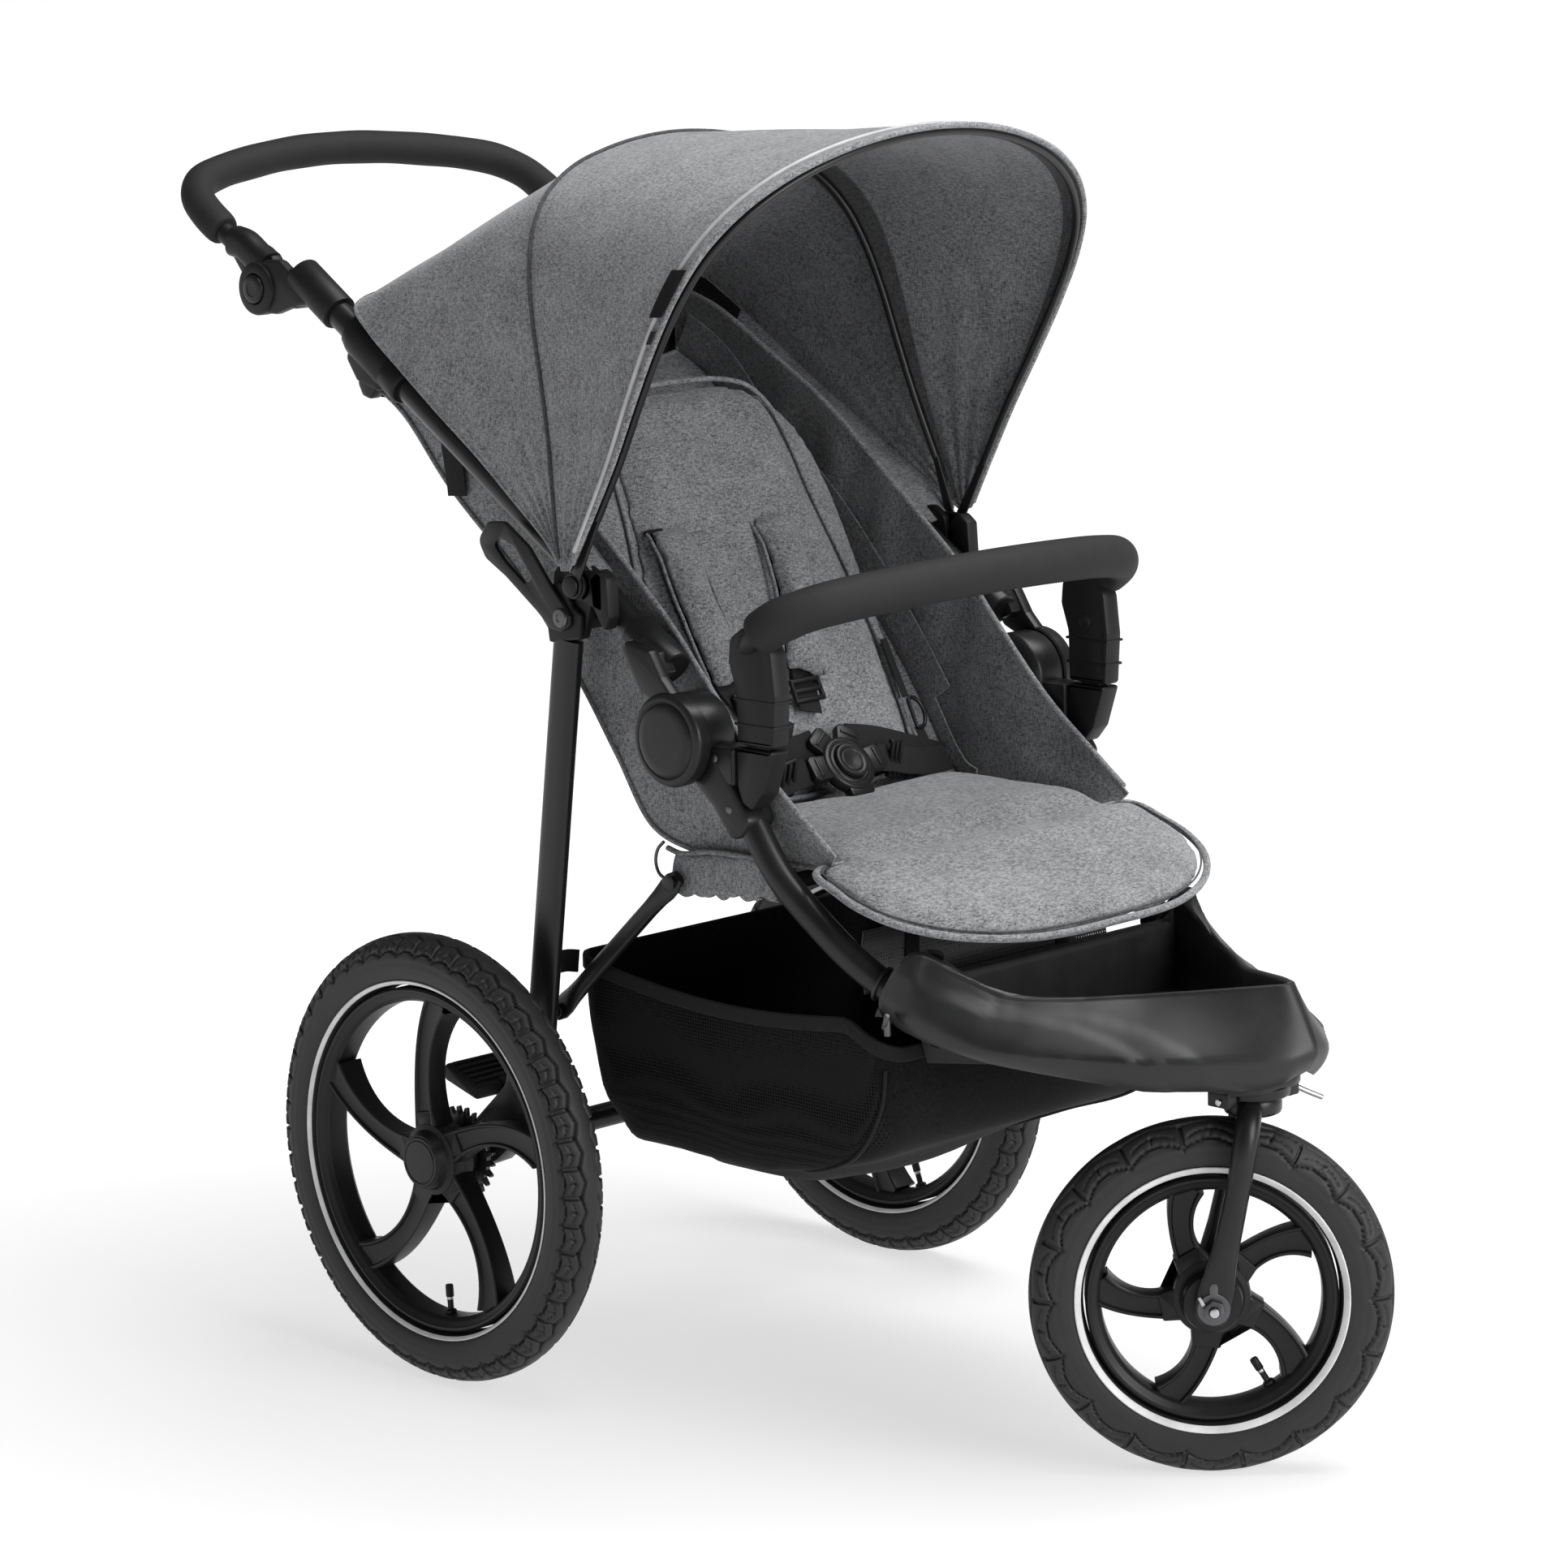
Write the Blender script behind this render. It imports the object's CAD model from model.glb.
import math
import bpy
import bmesh
import numpy as np
from mathutils import Matrix, Vector


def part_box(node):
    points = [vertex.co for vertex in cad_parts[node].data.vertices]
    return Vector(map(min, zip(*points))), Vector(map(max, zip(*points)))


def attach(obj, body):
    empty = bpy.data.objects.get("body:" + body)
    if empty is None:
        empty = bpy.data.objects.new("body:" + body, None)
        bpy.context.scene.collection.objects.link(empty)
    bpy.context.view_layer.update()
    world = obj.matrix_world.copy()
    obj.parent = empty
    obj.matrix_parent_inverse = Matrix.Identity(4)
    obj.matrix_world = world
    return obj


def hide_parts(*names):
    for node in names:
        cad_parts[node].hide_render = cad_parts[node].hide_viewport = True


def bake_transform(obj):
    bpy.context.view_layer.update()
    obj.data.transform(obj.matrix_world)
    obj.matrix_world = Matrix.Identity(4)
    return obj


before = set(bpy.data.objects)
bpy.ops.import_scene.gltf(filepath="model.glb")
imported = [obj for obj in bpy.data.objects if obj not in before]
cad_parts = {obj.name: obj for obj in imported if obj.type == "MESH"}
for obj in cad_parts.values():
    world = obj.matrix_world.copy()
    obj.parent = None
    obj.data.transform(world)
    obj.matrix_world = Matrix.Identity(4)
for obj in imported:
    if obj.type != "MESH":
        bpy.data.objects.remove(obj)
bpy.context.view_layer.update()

scene = bpy.context.scene
_lo, _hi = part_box("rear_rim_left")
S = (_lo.y + _hi.y) * 500.0  # rear axle's y in mm; all shapes below are in mm from the rear axle
D2R = math.pi / 180

# ------------------------------------------------------------------ mesh tools
def V3(a):
    return (np.asarray(a, float).reshape(-1, 3) + [0, S, 0]) * 0.001


def mk(name, V, F, mat, angle=38, smooth=True):
    me = bpy.data.meshes.new(name)
    me.from_pydata(V3(V).tolist(), [], [tuple(int(i) for i in f) for f in F])
    bm = bmesh.new()
    bm.from_mesh(me)
    bmesh.ops.remove_doubles(bm, verts=bm.verts, dist=1e-6)
    bmesh.ops.recalc_face_normals(bm, faces=bm.faces)
    bm.to_mesh(me)
    bm.free()
    ob = bpy.data.objects.new(name, me)
    scene.collection.objects.link(ob)
    for m in mat if isinstance(mat, (list, tuple)) else [mat]:
        me.materials.append(m)
    shade(ob, angle if smooth else None)
    return ob


def shade(ob, angle=38):
    me = ob.data
    if angle is None:
        me.shade_flat()
    else:
        me.shade_smooth()
        me.set_sharp_from_angle(angle=angle * D2R)


def bake(ob, angle=38):
    """Applies the object's modifiers."""
    dg = bpy.context.evaluated_depsgraph_get()
    me = bpy.data.meshes.new_from_object(ob.evaluated_get(dg))
    mats = [m for m in ob.data.materials]
    ob.modifiers.clear()
    ob.data = me
    if not len(me.materials):
        for m in mats:
            me.materials.append(m)
    shade(ob, angle)
    return ob


def subsurf(ob, levels=2, angle=60):
    m = ob.modifiers.new("s", "SUBSURF")
    m.levels = m.render_levels = levels
    return bake(ob, angle)


def bevel(ob, w=0.8, seg=2, ang=35, shade_angle=38):
    m = ob.modifiers.new("b", "BEVEL")
    m.width = w * 0.001
    m.segments = seg
    m.limit_method = "ANGLE"
    m.angle_limit = ang * D2R
    m.use_clamp_overlap = True
    return bake(ob, shade_angle)


def cut(ob, *tools, angle=38):
    for t in tools:
        m = ob.modifiers.new("c", "BOOLEAN")
        m.operation = "DIFFERENCE"
        m.solver = "EXACT"
        m.object = t
    bake(ob, angle)
    for t in tools:
        bpy.data.objects.remove(t)
    return ob


def merge(*parts):
    V, F, n = [], [], 0
    for v, f in parts:
        v = np.asarray(v, float).reshape(-1, 3)
        V.append(v)
        F += [tuple(int(i) + n for i in g) for g in f]
        n += len(v)
    return np.vstack(V), F


def mirror(vf):
    v = np.array(vf[0], float)
    v[:, 0] *= -1
    return v, [tuple(reversed(f)) for f in vf[1]]


def spline(pts, n=None, step=4.0, closed=False):
    """Smooth curve through the points, in even steps."""
    p = np.asarray(pts, float)
    if closed:
        p = np.vstack([p[-1], p, p[0], p[1]])
    else:
        p = np.vstack([2 * p[0] - p[1], p, 2 * p[-1] - p[-2]])
    out = []
    for i in range(1, len(p) - 2):
        p0, p1, p2, p3 = p[i - 1], p[i], p[i + 1], p[i + 2]
        t0 = 0
        t1 = t0 + max(np.linalg.norm(p1 - p0), 1e-6) ** 0.5
        t2 = t1 + max(np.linalg.norm(p2 - p1), 1e-6) ** 0.5
        t3 = t2 + max(np.linalg.norm(p3 - p2), 1e-6) ** 0.5
        for t in np.linspace(t1, t2, 24, endpoint=False):
            a1 = (t1 - t) / (t1 - t0) * p0 + (t - t0) / (t1 - t0) * p1
            a2 = (t2 - t) / (t2 - t1) * p1 + (t - t1) / (t2 - t1) * p2
            a3 = (t3 - t) / (t3 - t2) * p2 + (t - t2) / (t3 - t2) * p3
            b1 = (t2 - t) / (t2 - t0) * a1 + (t - t0) / (t2 - t0) * a2
            b2 = (t3 - t) / (t3 - t1) * a2 + (t - t1) / (t3 - t1) * a3
            out.append((t2 - t) / (t2 - t1) * b1 + (t - t1) / (t2 - t1) * b2)
    if not closed:
        out.append(p[-2])
    out = np.array(out)
    q = np.vstack([out, out[:1]]) if closed else out
    d = np.r_[0, np.cumsum(np.linalg.norm(np.diff(q, axis=0), axis=1))]
    m = n or max(2, int(round(d[-1] / step)) + (0 if closed else 1))
    s = np.linspace(0, d[-1], m, endpoint=not closed)
    return np.array([np.interp(s, d, q[:, k]) for k in range(p.shape[1])]).T


def circle(r, n=24):
    a = np.arange(n) / n * 2 * math.pi
    return np.c_[r * np.cos(a), r * np.sin(a)]


def rrect(w, h, r, k=4):
    pts = []
    for sx, sy, a0 in ((1, 1, 0), (-1, 1, 90), (-1, -1, 180), (1, -1, 270)):
        for i in range(k + 1):
            a = (a0 + 90 * i / k) * D2R
            pts.append((sx * (w / 2 - r) + r * math.cos(a), sy * (h / 2 - r) + r * math.sin(a)))
    return np.array(pts)


def frames(p, up=None, closed=False):
    if closed:
        T = np.roll(p, -1, 0) - np.roll(p, 1, 0)
    else:
        T = np.gradient(p, axis=0)
    T /= np.linalg.norm(T, axis=1)[:, None]
    N = np.zeros_like(p)
    if up is not None:
        u = np.broadcast_to(np.asarray(up, float), p.shape)
        N = u - (u * T).sum(1)[:, None] * T
        N /= np.linalg.norm(N, axis=1)[:, None]
    else:
        a = np.array([0, 0, 1.0]) if abs(T[0][2]) < 0.9 else np.array([1.0, 0, 0])
        n = a - a.dot(T[0]) * T[0]
        N[0] = n / np.linalg.norm(n)
        for i in range(1, len(p)):
            n = N[i - 1] - N[i - 1].dot(T[i]) * T[i]
            N[i] = n / np.linalg.norm(n)
    return T, N, np.cross(T, N)


def sweep(path, prof, up=None, closed=False, cap=True, scale=None, dome=0.0):
    """prof (m,2) is in the N,B plane. dome rounds the ends off over that length."""
    p = np.asarray(path, float)
    prof = np.asarray(prof, float)
    T, N, B = frames(p, up, closed)
    n, m = len(p), len(prof)
    sc = np.ones(n) if scale is None else np.broadcast_to(np.asarray(scale, float), (n,)).copy()
    rings = []
    for i in range(n):
        rings.append(p[i] + sc[i] * (prof[:, :1] * N[i] + prof[:, 1:] * B[i]))
    if dome and not closed:
        r = abs(prof).max()
        head, tail = [], []
        for k in (1.0, 0.75, 0.45, 0.2):
            a = k * math.pi / 2
            head.append(p[0] - T[0] * dome * math.sin(a) + sc[0] * math.cos(a) * (prof[:, :1] * N[0] + prof[:, 1:] * B[0]) if k < 1 else p[0] - T[0] * dome + 0.02 * (prof[:, :1] * N[0] + prof[:, 1:] * B[0]))
            tail.append(p[-1] + T[-1] * dome * math.sin(a) + sc[-1] * math.cos(a) * (prof[:, :1] * N[-1] + prof[:, 1:] * B[-1]) if k < 1 else p[-1] + T[-1] * dome + 0.02 * (prof[:, :1] * N[-1] + prof[:, 1:] * B[-1]))
        rings = head + rings + tail[::-1]
    n = len(rings)
    F = []
    for i in range(n if closed else n - 1):
        for j in range(m):
            a, b = i * m + j, i * m + (j + 1) % m
            c, d = ((i + 1) % n) * m + (j + 1) % m, ((i + 1) % n) * m + j
            F.append((a, b, c, d))
    if cap and not closed:
        F.append(tuple(range(m))[::-1])
        F.append(tuple((n - 1) * m + j for j in range(m)))
    return np.vstack(rings), F


def tube(pts, r, n=24, step=4.0, smooth=True, **k):
    p = spline(pts, step=step) if smooth else np.asarray(pts, float)
    return sweep(p, circle(r, n), **k)


def lathe(prof, axis=(1, 0, 0), at=(0, 0, 0), n=64, closed=True):
    """prof is (radius, height) along the axis; with closed it joins its last point to its first."""
    ax = Vector(axis).normalized()
    q = Vector((0, 0, 1)).rotation_difference(ax)
    R = np.array(q.to_matrix())
    prof = np.asarray(prof, float)
    m = len(prof)
    V = []
    for i in range(n):
        a = i / n * 2 * math.pi
        V.append(np.c_[prof[:, 0] * math.cos(a), prof[:, 0] * math.sin(a), prof[:, 1]])
    V = np.vstack(V) @ R.T + np.asarray(at, float)
    F = []
    for i in range(n):
        for j in range(m if closed else m - 1):
            a, b = i * m + j, i * m + (j + 1) % m
            c, d = ((i + 1) % n) * m + (j + 1) % m, ((i + 1) % n) * m + j
            F.append((a, b, c, d))
    return V, F


def disc(x0, x1, yz, r, n=48, b=1.0, axis=(1, 0, 0)):
    """Closed round disc across the object from x0 to x1 with rounded edges."""
    h = x1 - x0
    pr = [(0, 0), (r - b, 0), (r - 0.3 * b, 0.3 * b), (r, b), (r, h - b), (r - 0.3 * b, h - 0.3 * b), (r - b, h), (0, h)]
    return lathe(pr, axis, (x0, yz[0], yz[1]), n, closed=False)


def rounded(pts, r, k=5):
    """Outline with its corners rounded to radius r, or to a list of radii."""
    p = np.asarray(pts, float)
    n = len(p)
    out = []
    for i in range(n):
        rr = r[i] if hasattr(r, "__len__") else r
        a, b, c = p[i - 1], p[i], p[(i + 1) % n]
        u, v = a - b, c - b
        lu, lv = np.linalg.norm(u), np.linalg.norm(v)
        u, v = u / lu, v / lv
        ang = math.acos(max(-1, min(1, u.dot(v))))
        t = rr / max(math.tan(ang / 2), 1e-3)
        t = min(t, lu * 0.48, lv * 0.48)
        if rr <= 0 or ang > 3.1:
            out.append(b)
            continue
        s, e = b + u * t, b + v * t
        for j in range(k + 1):
            w = j / k
            out.append((1 - w) ** 2 * s + 2 * w * (1 - w) * b + w * w * e)
    return np.array(out)


def inset(p, d):
    p = np.asarray(p, float)
    area = 0.5 * np.sum(p[:, 0] * np.roll(p[:, 1], -1) - np.roll(p[:, 0], -1) * p[:, 1])
    e = np.roll(p, -1, 0) - p
    e /= np.maximum(np.linalg.norm(e, axis=1)[:, None], 1e-9)
    nrm = np.c_[-e[:, 1], e[:, 0]] * (1 if area > 0 else -1)
    a = nrm + np.roll(nrm, 1, 0)
    a /= np.maximum(np.linalg.norm(a, axis=1)[:, None], 1e-6)
    d = np.asarray(d, float)
    return p + a * (d[:, None] if d.ndim else d)


def prism(outline, x0, x1, b=1.0, to3=None):
    """Outline (y, z) from x0 to x1, with its edges rounded by b. to3 maps (u, v, w) to 3-D."""
    o = np.asarray(outline, float)
    to3 = to3 or (lambda u, v, w: np.c_[w, u, v])
    rows = []
    sgn = 1 if x1 > x0 else -1
    for d, w in ((b, 0), (0.3 * b, 0.3 * b), (0, b)):
        q = inset(o, d)
        rows.append(to3(q[:, 0], q[:, 1], np.full(len(q), x0 + sgn * w)))
    for d, w in ((0, b), (0.3 * b, 0.3 * b), (b, 0)):
        q = inset(o, d)
        rows.append(to3(q[:, 0], q[:, 1], np.full(len(q), x1 - sgn * w)))
    m = len(o)
    F = []
    for i in range(len(rows) - 1):
        for j in range(m):
            F.append((i * m + j, i * m + (j + 1) % m, (i + 1) * m + (j + 1) % m, (i + 1) * m + j))
    F.append(tuple(range(m))[::-1])
    F.append(tuple((len(rows) - 1) * m + j for j in range(m)))
    return np.vstack(rows), F


def grid_faces(n, m, wrap=False, base=0):
    F = []
    for i in range(n - 1):
        for j in range(m if wrap else m - 1):
            F.append((base + i * m + j, base + i * m + (j + 1) % m, base + (i + 1) * m + (j + 1) % m, base + (i + 1) * m + j))
    return F


def cloth(name, G, t, mat, angle=60):
    """A thin closed sheet: G (n,m,3) is its outer face; t is its thickness."""
    n, m, _ = G.shape
    du = np.gradient(G, axis=0)
    dv = np.gradient(G, axis=1)
    N = np.cross(du, dv)
    N /= np.maximum(np.linalg.norm(N, axis=2)[:, :, None], 1e-9)
    V = np.vstack([G.reshape(-1, 3), (G - N * t).reshape(-1, 3)])
    F = grid_faces(n, m)
    F += [tuple(reversed([a + n * m for a in f])) for f in grid_faces(n, m)]
    o = n * m
    ring = [(i, 0) for i in range(n)] + [(n - 1, j) for j in range(1, m)] + [(i, m - 1) for i in range(n - 2, -1, -1)] + [(0, j) for j in range(m - 2, 0, -1)]
    ids = [i * m + j for i, j in ring]
    for k in range(len(ids)):
        a, b = ids[k], ids[(k + 1) % len(ids)]
        F.append((a, a + o, b + o, b))
    return mk(name, V, F, mat, angle)


def resample_rows(rows, n, step=None):
    return np.array([spline(r, n=n) for r in rows])


# ------------------------------------------------------------------ materials
def mat_new(name):
    m = bpy.data.materials.new(name)
    m.use_nodes = True
    nt = m.node_tree
    bs = nt.nodes["Principled BSDF"]
    return m, nt, bs


def node(nt, kind, **inp):
    n = nt.nodes.new(kind)
    for k, v in inp.items():
        if k.startswith("p_"):
            setattr(n, k[2:], v)
        else:
            n.inputs[k.replace("_", " ")].default_value = v
    return n


def coords(nt, scale=(1, 1, 1)):
    tc = nt.nodes.new("ShaderNodeTexCoord")
    mp = nt.nodes.new("ShaderNodeMapping")
    mp.inputs["Scale"].default_value = scale
    nt.links.new(tc.outputs["Object"], mp.inputs["Vector"])
    return mp.outputs["Vector"]


def noise_n(nt, vec, scale, detail=3, rough=0.5):
    n = node(nt, "ShaderNodeTexNoise", Scale=scale, Detail=detail, Roughness=rough)
    nt.links.new(vec, n.inputs["Vector"])
    return n.outputs["Fac"]


def ramp(nt, fac, stops):
    r = nt.nodes.new("ShaderNodeValToRGB")
    el = r.color_ramp.elements
    while len(el) < len(stops):
        el.new(0.5)
    for e, (p, c) in zip(el, stops):
        e.position = p
        e.color = (c, c, c, 1) if not hasattr(c, "__len__") else (*c, 1)
    nt.links.new(fac, r.inputs["Fac"])
    return r.outputs["Color"]


def mathn(nt, op, a, b=None):
    m = nt.nodes.new("ShaderNodeMath")
    m.operation = op
    for i, v in enumerate((a, b)):
        if v is None:
            continue
        if isinstance(v, (int, float)):
            m.inputs[i].default_value = v
        else:
            nt.links.new(v, m.inputs[i])
    return m.outputs[0]


def bump(nt, bs, h, strength=0.3, dist=0.0005, after=None):
    b = nt.nodes.new("ShaderNodeBump")
    b.inputs["Strength"].default_value = strength
    b.inputs["Distance"].default_value = dist
    nt.links.new(h, b.inputs["Height"])
    if after is not None:
        nt.links.new(after, b.inputs["Normal"])
    nt.links.new(b.outputs["Normal"], bs.inputs["Normal"])
    return b.outputs["Normal"]


def fabric(name, dark, light, sheen=0.25, speck=620.0, spec=0.25):
    """Melange woven cloth: two yarn directions of mixed light and dark threads."""
    m, nt, bs = mat_new(name)
    a = noise_n(nt, coords(nt, (speck * 0.35, speck * 0.35, speck * 1.5)), 1.0, 2, 0.6)
    b = noise_n(nt, coords(nt, (speck * 1.3, speck * 1.3, speck * 0.35)), 1.0, 2, 0.6)
    big = noise_n(nt, coords(nt, (1, 1, 1)), 26.0, 4, 0.6)
    s = mathn(nt, "ADD", mathn(nt, "MULTIPLY", a, 0.5), mathn(nt, "MULTIPLY", b, 0.5))
    s = mathn(nt, "ADD", s, mathn(nt, "MULTIPLY", mathn(nt, "SUBTRACT", big, 0.5), 0.16))
    mid = tuple((x + y) / 2 for x, y in zip(dark, light))
    col = ramp(nt, s, [(0.36, dark), (0.5, mid), (0.66, light)])
    nt.links.new(col, bs.inputs["Base Color"])
    bs.inputs["Roughness"].default_value = 0.92
    bs.inputs["Specular IOR Level"].default_value = spec
    bs.inputs["Sheen Weight"].default_value = sheen
    bs.inputs["Sheen Roughness"].default_value = 0.5
    w1 = noise_n(nt, coords(nt, (1500, 1500, 500)), 1.0, 1, 0.5)
    w2 = noise_n(nt, coords(nt, (500, 500, 1500)), 1.0, 1, 0.5)
    wr = noise_n(nt, coords(nt), 9.0, 3, 0.55)
    n1 = bump(nt, bs, mathn(nt, "MAXIMUM", w1, w2), 0.35, 0.0004)
    bump(nt, bs, wr, 0.25, 0.004, n1)
    return m


def plastic(name, col, rough=0.5, grain=1400.0, gs=0.12, coat=0.0, spec=0.5):
    m, nt, bs = mat_new(name)
    v = coords(nt)
    f = noise_n(nt, v, grain, 2, 0.5)
    big = noise_n(nt, v, 38.0, 3, 0.6)
    lo = tuple(c * 0.86 for c in col)
    hi = tuple(min(1, c * 1.14 + 0.0005) for c in col)
    nt.links.new(ramp(nt, big, [(0.3, lo), (0.7, hi)]), bs.inputs["Base Color"])
    r = mathn(nt, "ADD", mathn(nt, "MULTIPLY", mathn(nt, "SUBTRACT", big, 0.5), 0.16), rough)
    nt.links.new(r, bs.inputs["Roughness"])
    bs.inputs["Specular IOR Level"].default_value = spec
    bump(nt, bs, f, gs, 0.0003)
    if coat:
        bs.inputs["Coat Weight"].default_value = coat
        bs.inputs["Coat Roughness"].default_value = 0.25
    return m


def webbing(name, col):
    m, nt, bs = mat_new(name)
    a = noise_n(nt, coords(nt, (300, 300, 2200)), 1.0, 1)
    b = noise_n(nt, coords(nt, (2200, 2200, 300)), 1.0, 1)
    s = mathn(nt, "MAXIMUM", a, b)
    nt.links.new(ramp(nt, s, [(0.4, tuple(c * 0.7 for c in col)), (0.7, tuple(c * 1.5 for c in col))]), bs.inputs["Base Color"])
    bs.inputs["Roughness"].default_value = 0.8
    bs.inputs["Sheen Weight"].default_value = 0.03
    bs.inputs["Specular IOR Level"].default_value = 0.2
    bump(nt, bs, s, 0.5, 0.0004)
    return m


def metal(name, col, rough=0.35):
    m, nt, bs = mat_new(name)
    f = noise_n(nt, coords(nt, (300, 60, 300)), 4.0, 3)
    nt.links.new(ramp(nt, f, [(0.3, tuple(c * 0.8 for c in col)), (0.7, col)]), bs.inputs["Base Color"])
    nt.links.new(mathn(nt, "ADD", mathn(nt, "MULTIPLY", f, 0.2), rough - 0.1), bs.inputs["Roughness"])
    bs.inputs["Metallic"].default_value = 1.0
    bump(nt, bs, f, 0.05, 0.0002)
    return m


def netting(name, col, opening=0.03):
    """Fine open net: holes in a regular hexagonal-looking pattern."""
    m, nt, bs = mat_new(name)
    bs.inputs["Roughness"].default_value = 0.75
    v = nt.nodes.new("ShaderNodeTexVoronoi")
    v.feature = "F1"
    v.inputs["Scale"].default_value = 330.0
    v.inputs["Randomness"].default_value = 0.12
    nt.links.new(coords(nt, (1, 1, 1)), v.inputs["Vector"])
    nt.links.new(ramp(nt, v.outputs["Distance"], [(0.26, tuple(q * 0.12 for q in col)), (0.5, tuple(q * 2.2 for q in col))]), bs.inputs["Base Color"])
    bs.inputs["Specular IOR Level"].default_value = 0.08
    hole = mathn(nt, "LESS_THAN", v.outputs["Distance"], 0.33)
    bump(nt, bs, v.outputs["Distance"], 0.4, 0.0006)
    tr = nt.nodes.new("ShaderNodeBsdfTransparent")
    mx = nt.nodes.new("ShaderNodeMixShader")
    nt.links.new(mathn(nt, "MULTIPLY", hole, opening), mx.inputs[0])
    nt.links.new(bs.outputs[0], mx.inputs[1])
    nt.links.new(tr.outputs[0], mx.inputs[2])
    out = [n for n in nt.nodes if n.type == "OUTPUT_MATERIAL"][0]
    nt.links.new(mx.outputs[0], out.inputs["Surface"])
    return m


M = dict(
    fabric=fabric("melange_cloth", (0.045, 0.046, 0.048), (0.285, 0.29, 0.30)),
    lining=fabric("melange_cloth_inner", (0.05, 0.051, 0.054), (0.26, 0.265, 0.275), speck=560.0),
    piping=fabric("piping_cloth", (0.02, 0.02, 0.021), (0.09, 0.091, 0.094), 0.1),
    blackcloth=fabric("black_cloth", (0.0028, 0.0028, 0.003), (0.0105, 0.0105, 0.011), 0.03, spec=0.1),
    reflect=plastic("reflective_piping", (0.36, 0.36, 0.37), 0.45, 900, 0.2),
    tube=plastic("black_powder_coat", (0.0075, 0.0076, 0.0082), 0.36, 2200, 0.10, 0.08, spec=0.28),
    plastic=plastic("black_moulded_plastic", (0.0075, 0.0076, 0.0081), 0.46, 1500, 0.14, spec=0.22),
    tray=plastic("tray_moulded_plastic", (0.0120, 0.0122, 0.0130), 0.42, 1700, 0.12, spec=0.4),
    satin=plastic("satin_black_plastic", (0.0095, 0.0096, 0.0100), 0.34, 1300, 0.08, spec=0.26),
    foam=plastic("foam_grip", (0.0130, 0.0131, 0.0136), 0.75, 900, 0.5, spec=0.25),
    rubber=plastic("tyre_rubber", (0.0150, 0.0152, 0.0157), 0.56, 1100, 0.3, spec=0.4),
    ring=plastic("reflective_ring", (0.66, 0.66, 0.66), 0.45, 900, 0.15),
    rim=plastic("black_wheel_plastic", (0.0075, 0.0076, 0.0080), 0.4, 1500, 0.1, spec=0.25),
    steel=metal("bare_steel", (0.5, 0.5, 0.5), 0.32),
    darksteel=metal("dark_zinc_steel", (0.12, 0.12, 0.125), 0.4),
    web=webbing("black_webbing", (0.008, 0.008, 0.0083)),
    net=netting("basket_net", (0.005, 0.005, 0.0053)),
    opennet=netting("open_net", (0.05, 0.05, 0.052), 0.85),
)


def piece(name, vf, mat, body, repl=(), angle=38, ride=True):
    ob = mk(name, vf[0], vf[1], M[mat], angle) if not isinstance(vf, bpy.types.Object) else vf
    if ride:
        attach(ob, body)
    if repl:
        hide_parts(*([repl] if isinstance(repl, str) else repl))
    return ob


def sides(name, vf, mat, body, repl=None, angle=38, fmt_body=False):
    """Left (+X) piece and its mirror image on the right."""
    out = []
    for sd, g in (("left", vf), ("right", mirror(vf))):
        out.append(piece(f"{name}_{sd}", g, mat, body + ("_" + sd if fmt_body else ""), (repl + "_" + sd) if repl else (), angle))
    return out


# ------------------------------------------------------------------ camera, light, floor
YAW, PITCH, ROLL = 44.0946 * D2R, 10.6267 * D2R, 1.3344 * D2R
cam_at = Vector((-3063.738, -3321.142 + S, 1337.532)) * 0.001
fwd = Vector((math.sin(YAW) * math.cos(PITCH), math.cos(YAW) * math.cos(PITCH), -math.sin(PITCH)))
rgt = Vector((math.cos(YAW), -math.sin(YAW), 0))
dwn = fwd.cross(rgt)
r_ = math.cos(ROLL) * rgt + math.sin(ROLL) * dwn
d_ = -math.sin(ROLL) * rgt + math.cos(ROLL) * dwn
d_cam = d_.copy()
cam = bpy.data.cameras.new("camera")
cam.sensor_width = 36
cam.lens = 6254.126 / 1932 * 36
cam.clip_end = 60
cam_ob = bpy.data.objects.new("camera", cam)
scene.collection.objects.link(cam_ob)
cam_ob.matrix_world = Matrix(((r_.x, -d_.x, -fwd.x, cam_at.x), (r_.y, -d_.y, -fwd.y, cam_at.y), (r_.z, -d_.z, -fwd.z, cam_at.z), (0, 0, 0, 1)))
scene.camera = cam_ob

world = bpy.data.worlds.new("studio")
scene.world = world
world.use_nodes = True
wn = world.node_tree
w_tc = wn.nodes.new("ShaderNodeTexCoord")
w_sx = wn.nodes.new("ShaderNodeSeparateXYZ")
w_rp = wn.nodes.new("ShaderNodeValToRGB")
w_rp.color_ramp.elements[0].position, w_rp.color_ramp.elements[0].color = 0.06, (1, 1, 1, 1)
w_rp.color_ramp.elements[1].position, w_rp.color_ramp.elements[1].color = 0.13, (0.14, 0.14, 0.14, 1)
wn.links.new(w_tc.outputs["Generated"], w_sx.inputs[0])
wn.links.new(w_sx.outputs["Z"], w_rp.inputs[0])
wn.links.new(w_rp.outputs[0], wn.nodes["Background"].inputs[0])
wn.nodes["Background"].inputs[1].default_value = 1.0
scene.view_settings.view_transform = "Standard"


def area(name, at, to, size, power, size_y=None):
    li = bpy.data.lights.new(name, "AREA")
    li.energy = power
    li.shape = "RECTANGLE"
    li.size = size
    li.size_y = size_y or size
    ob = bpy.data.objects.new(name, li)
    scene.collection.objects.link(ob)
    ob.location = at
    ob.rotation_euler = (Vector(to) - Vector(at)).to_track_quat("-Z", "Y").to_euler()
    return ob


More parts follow.
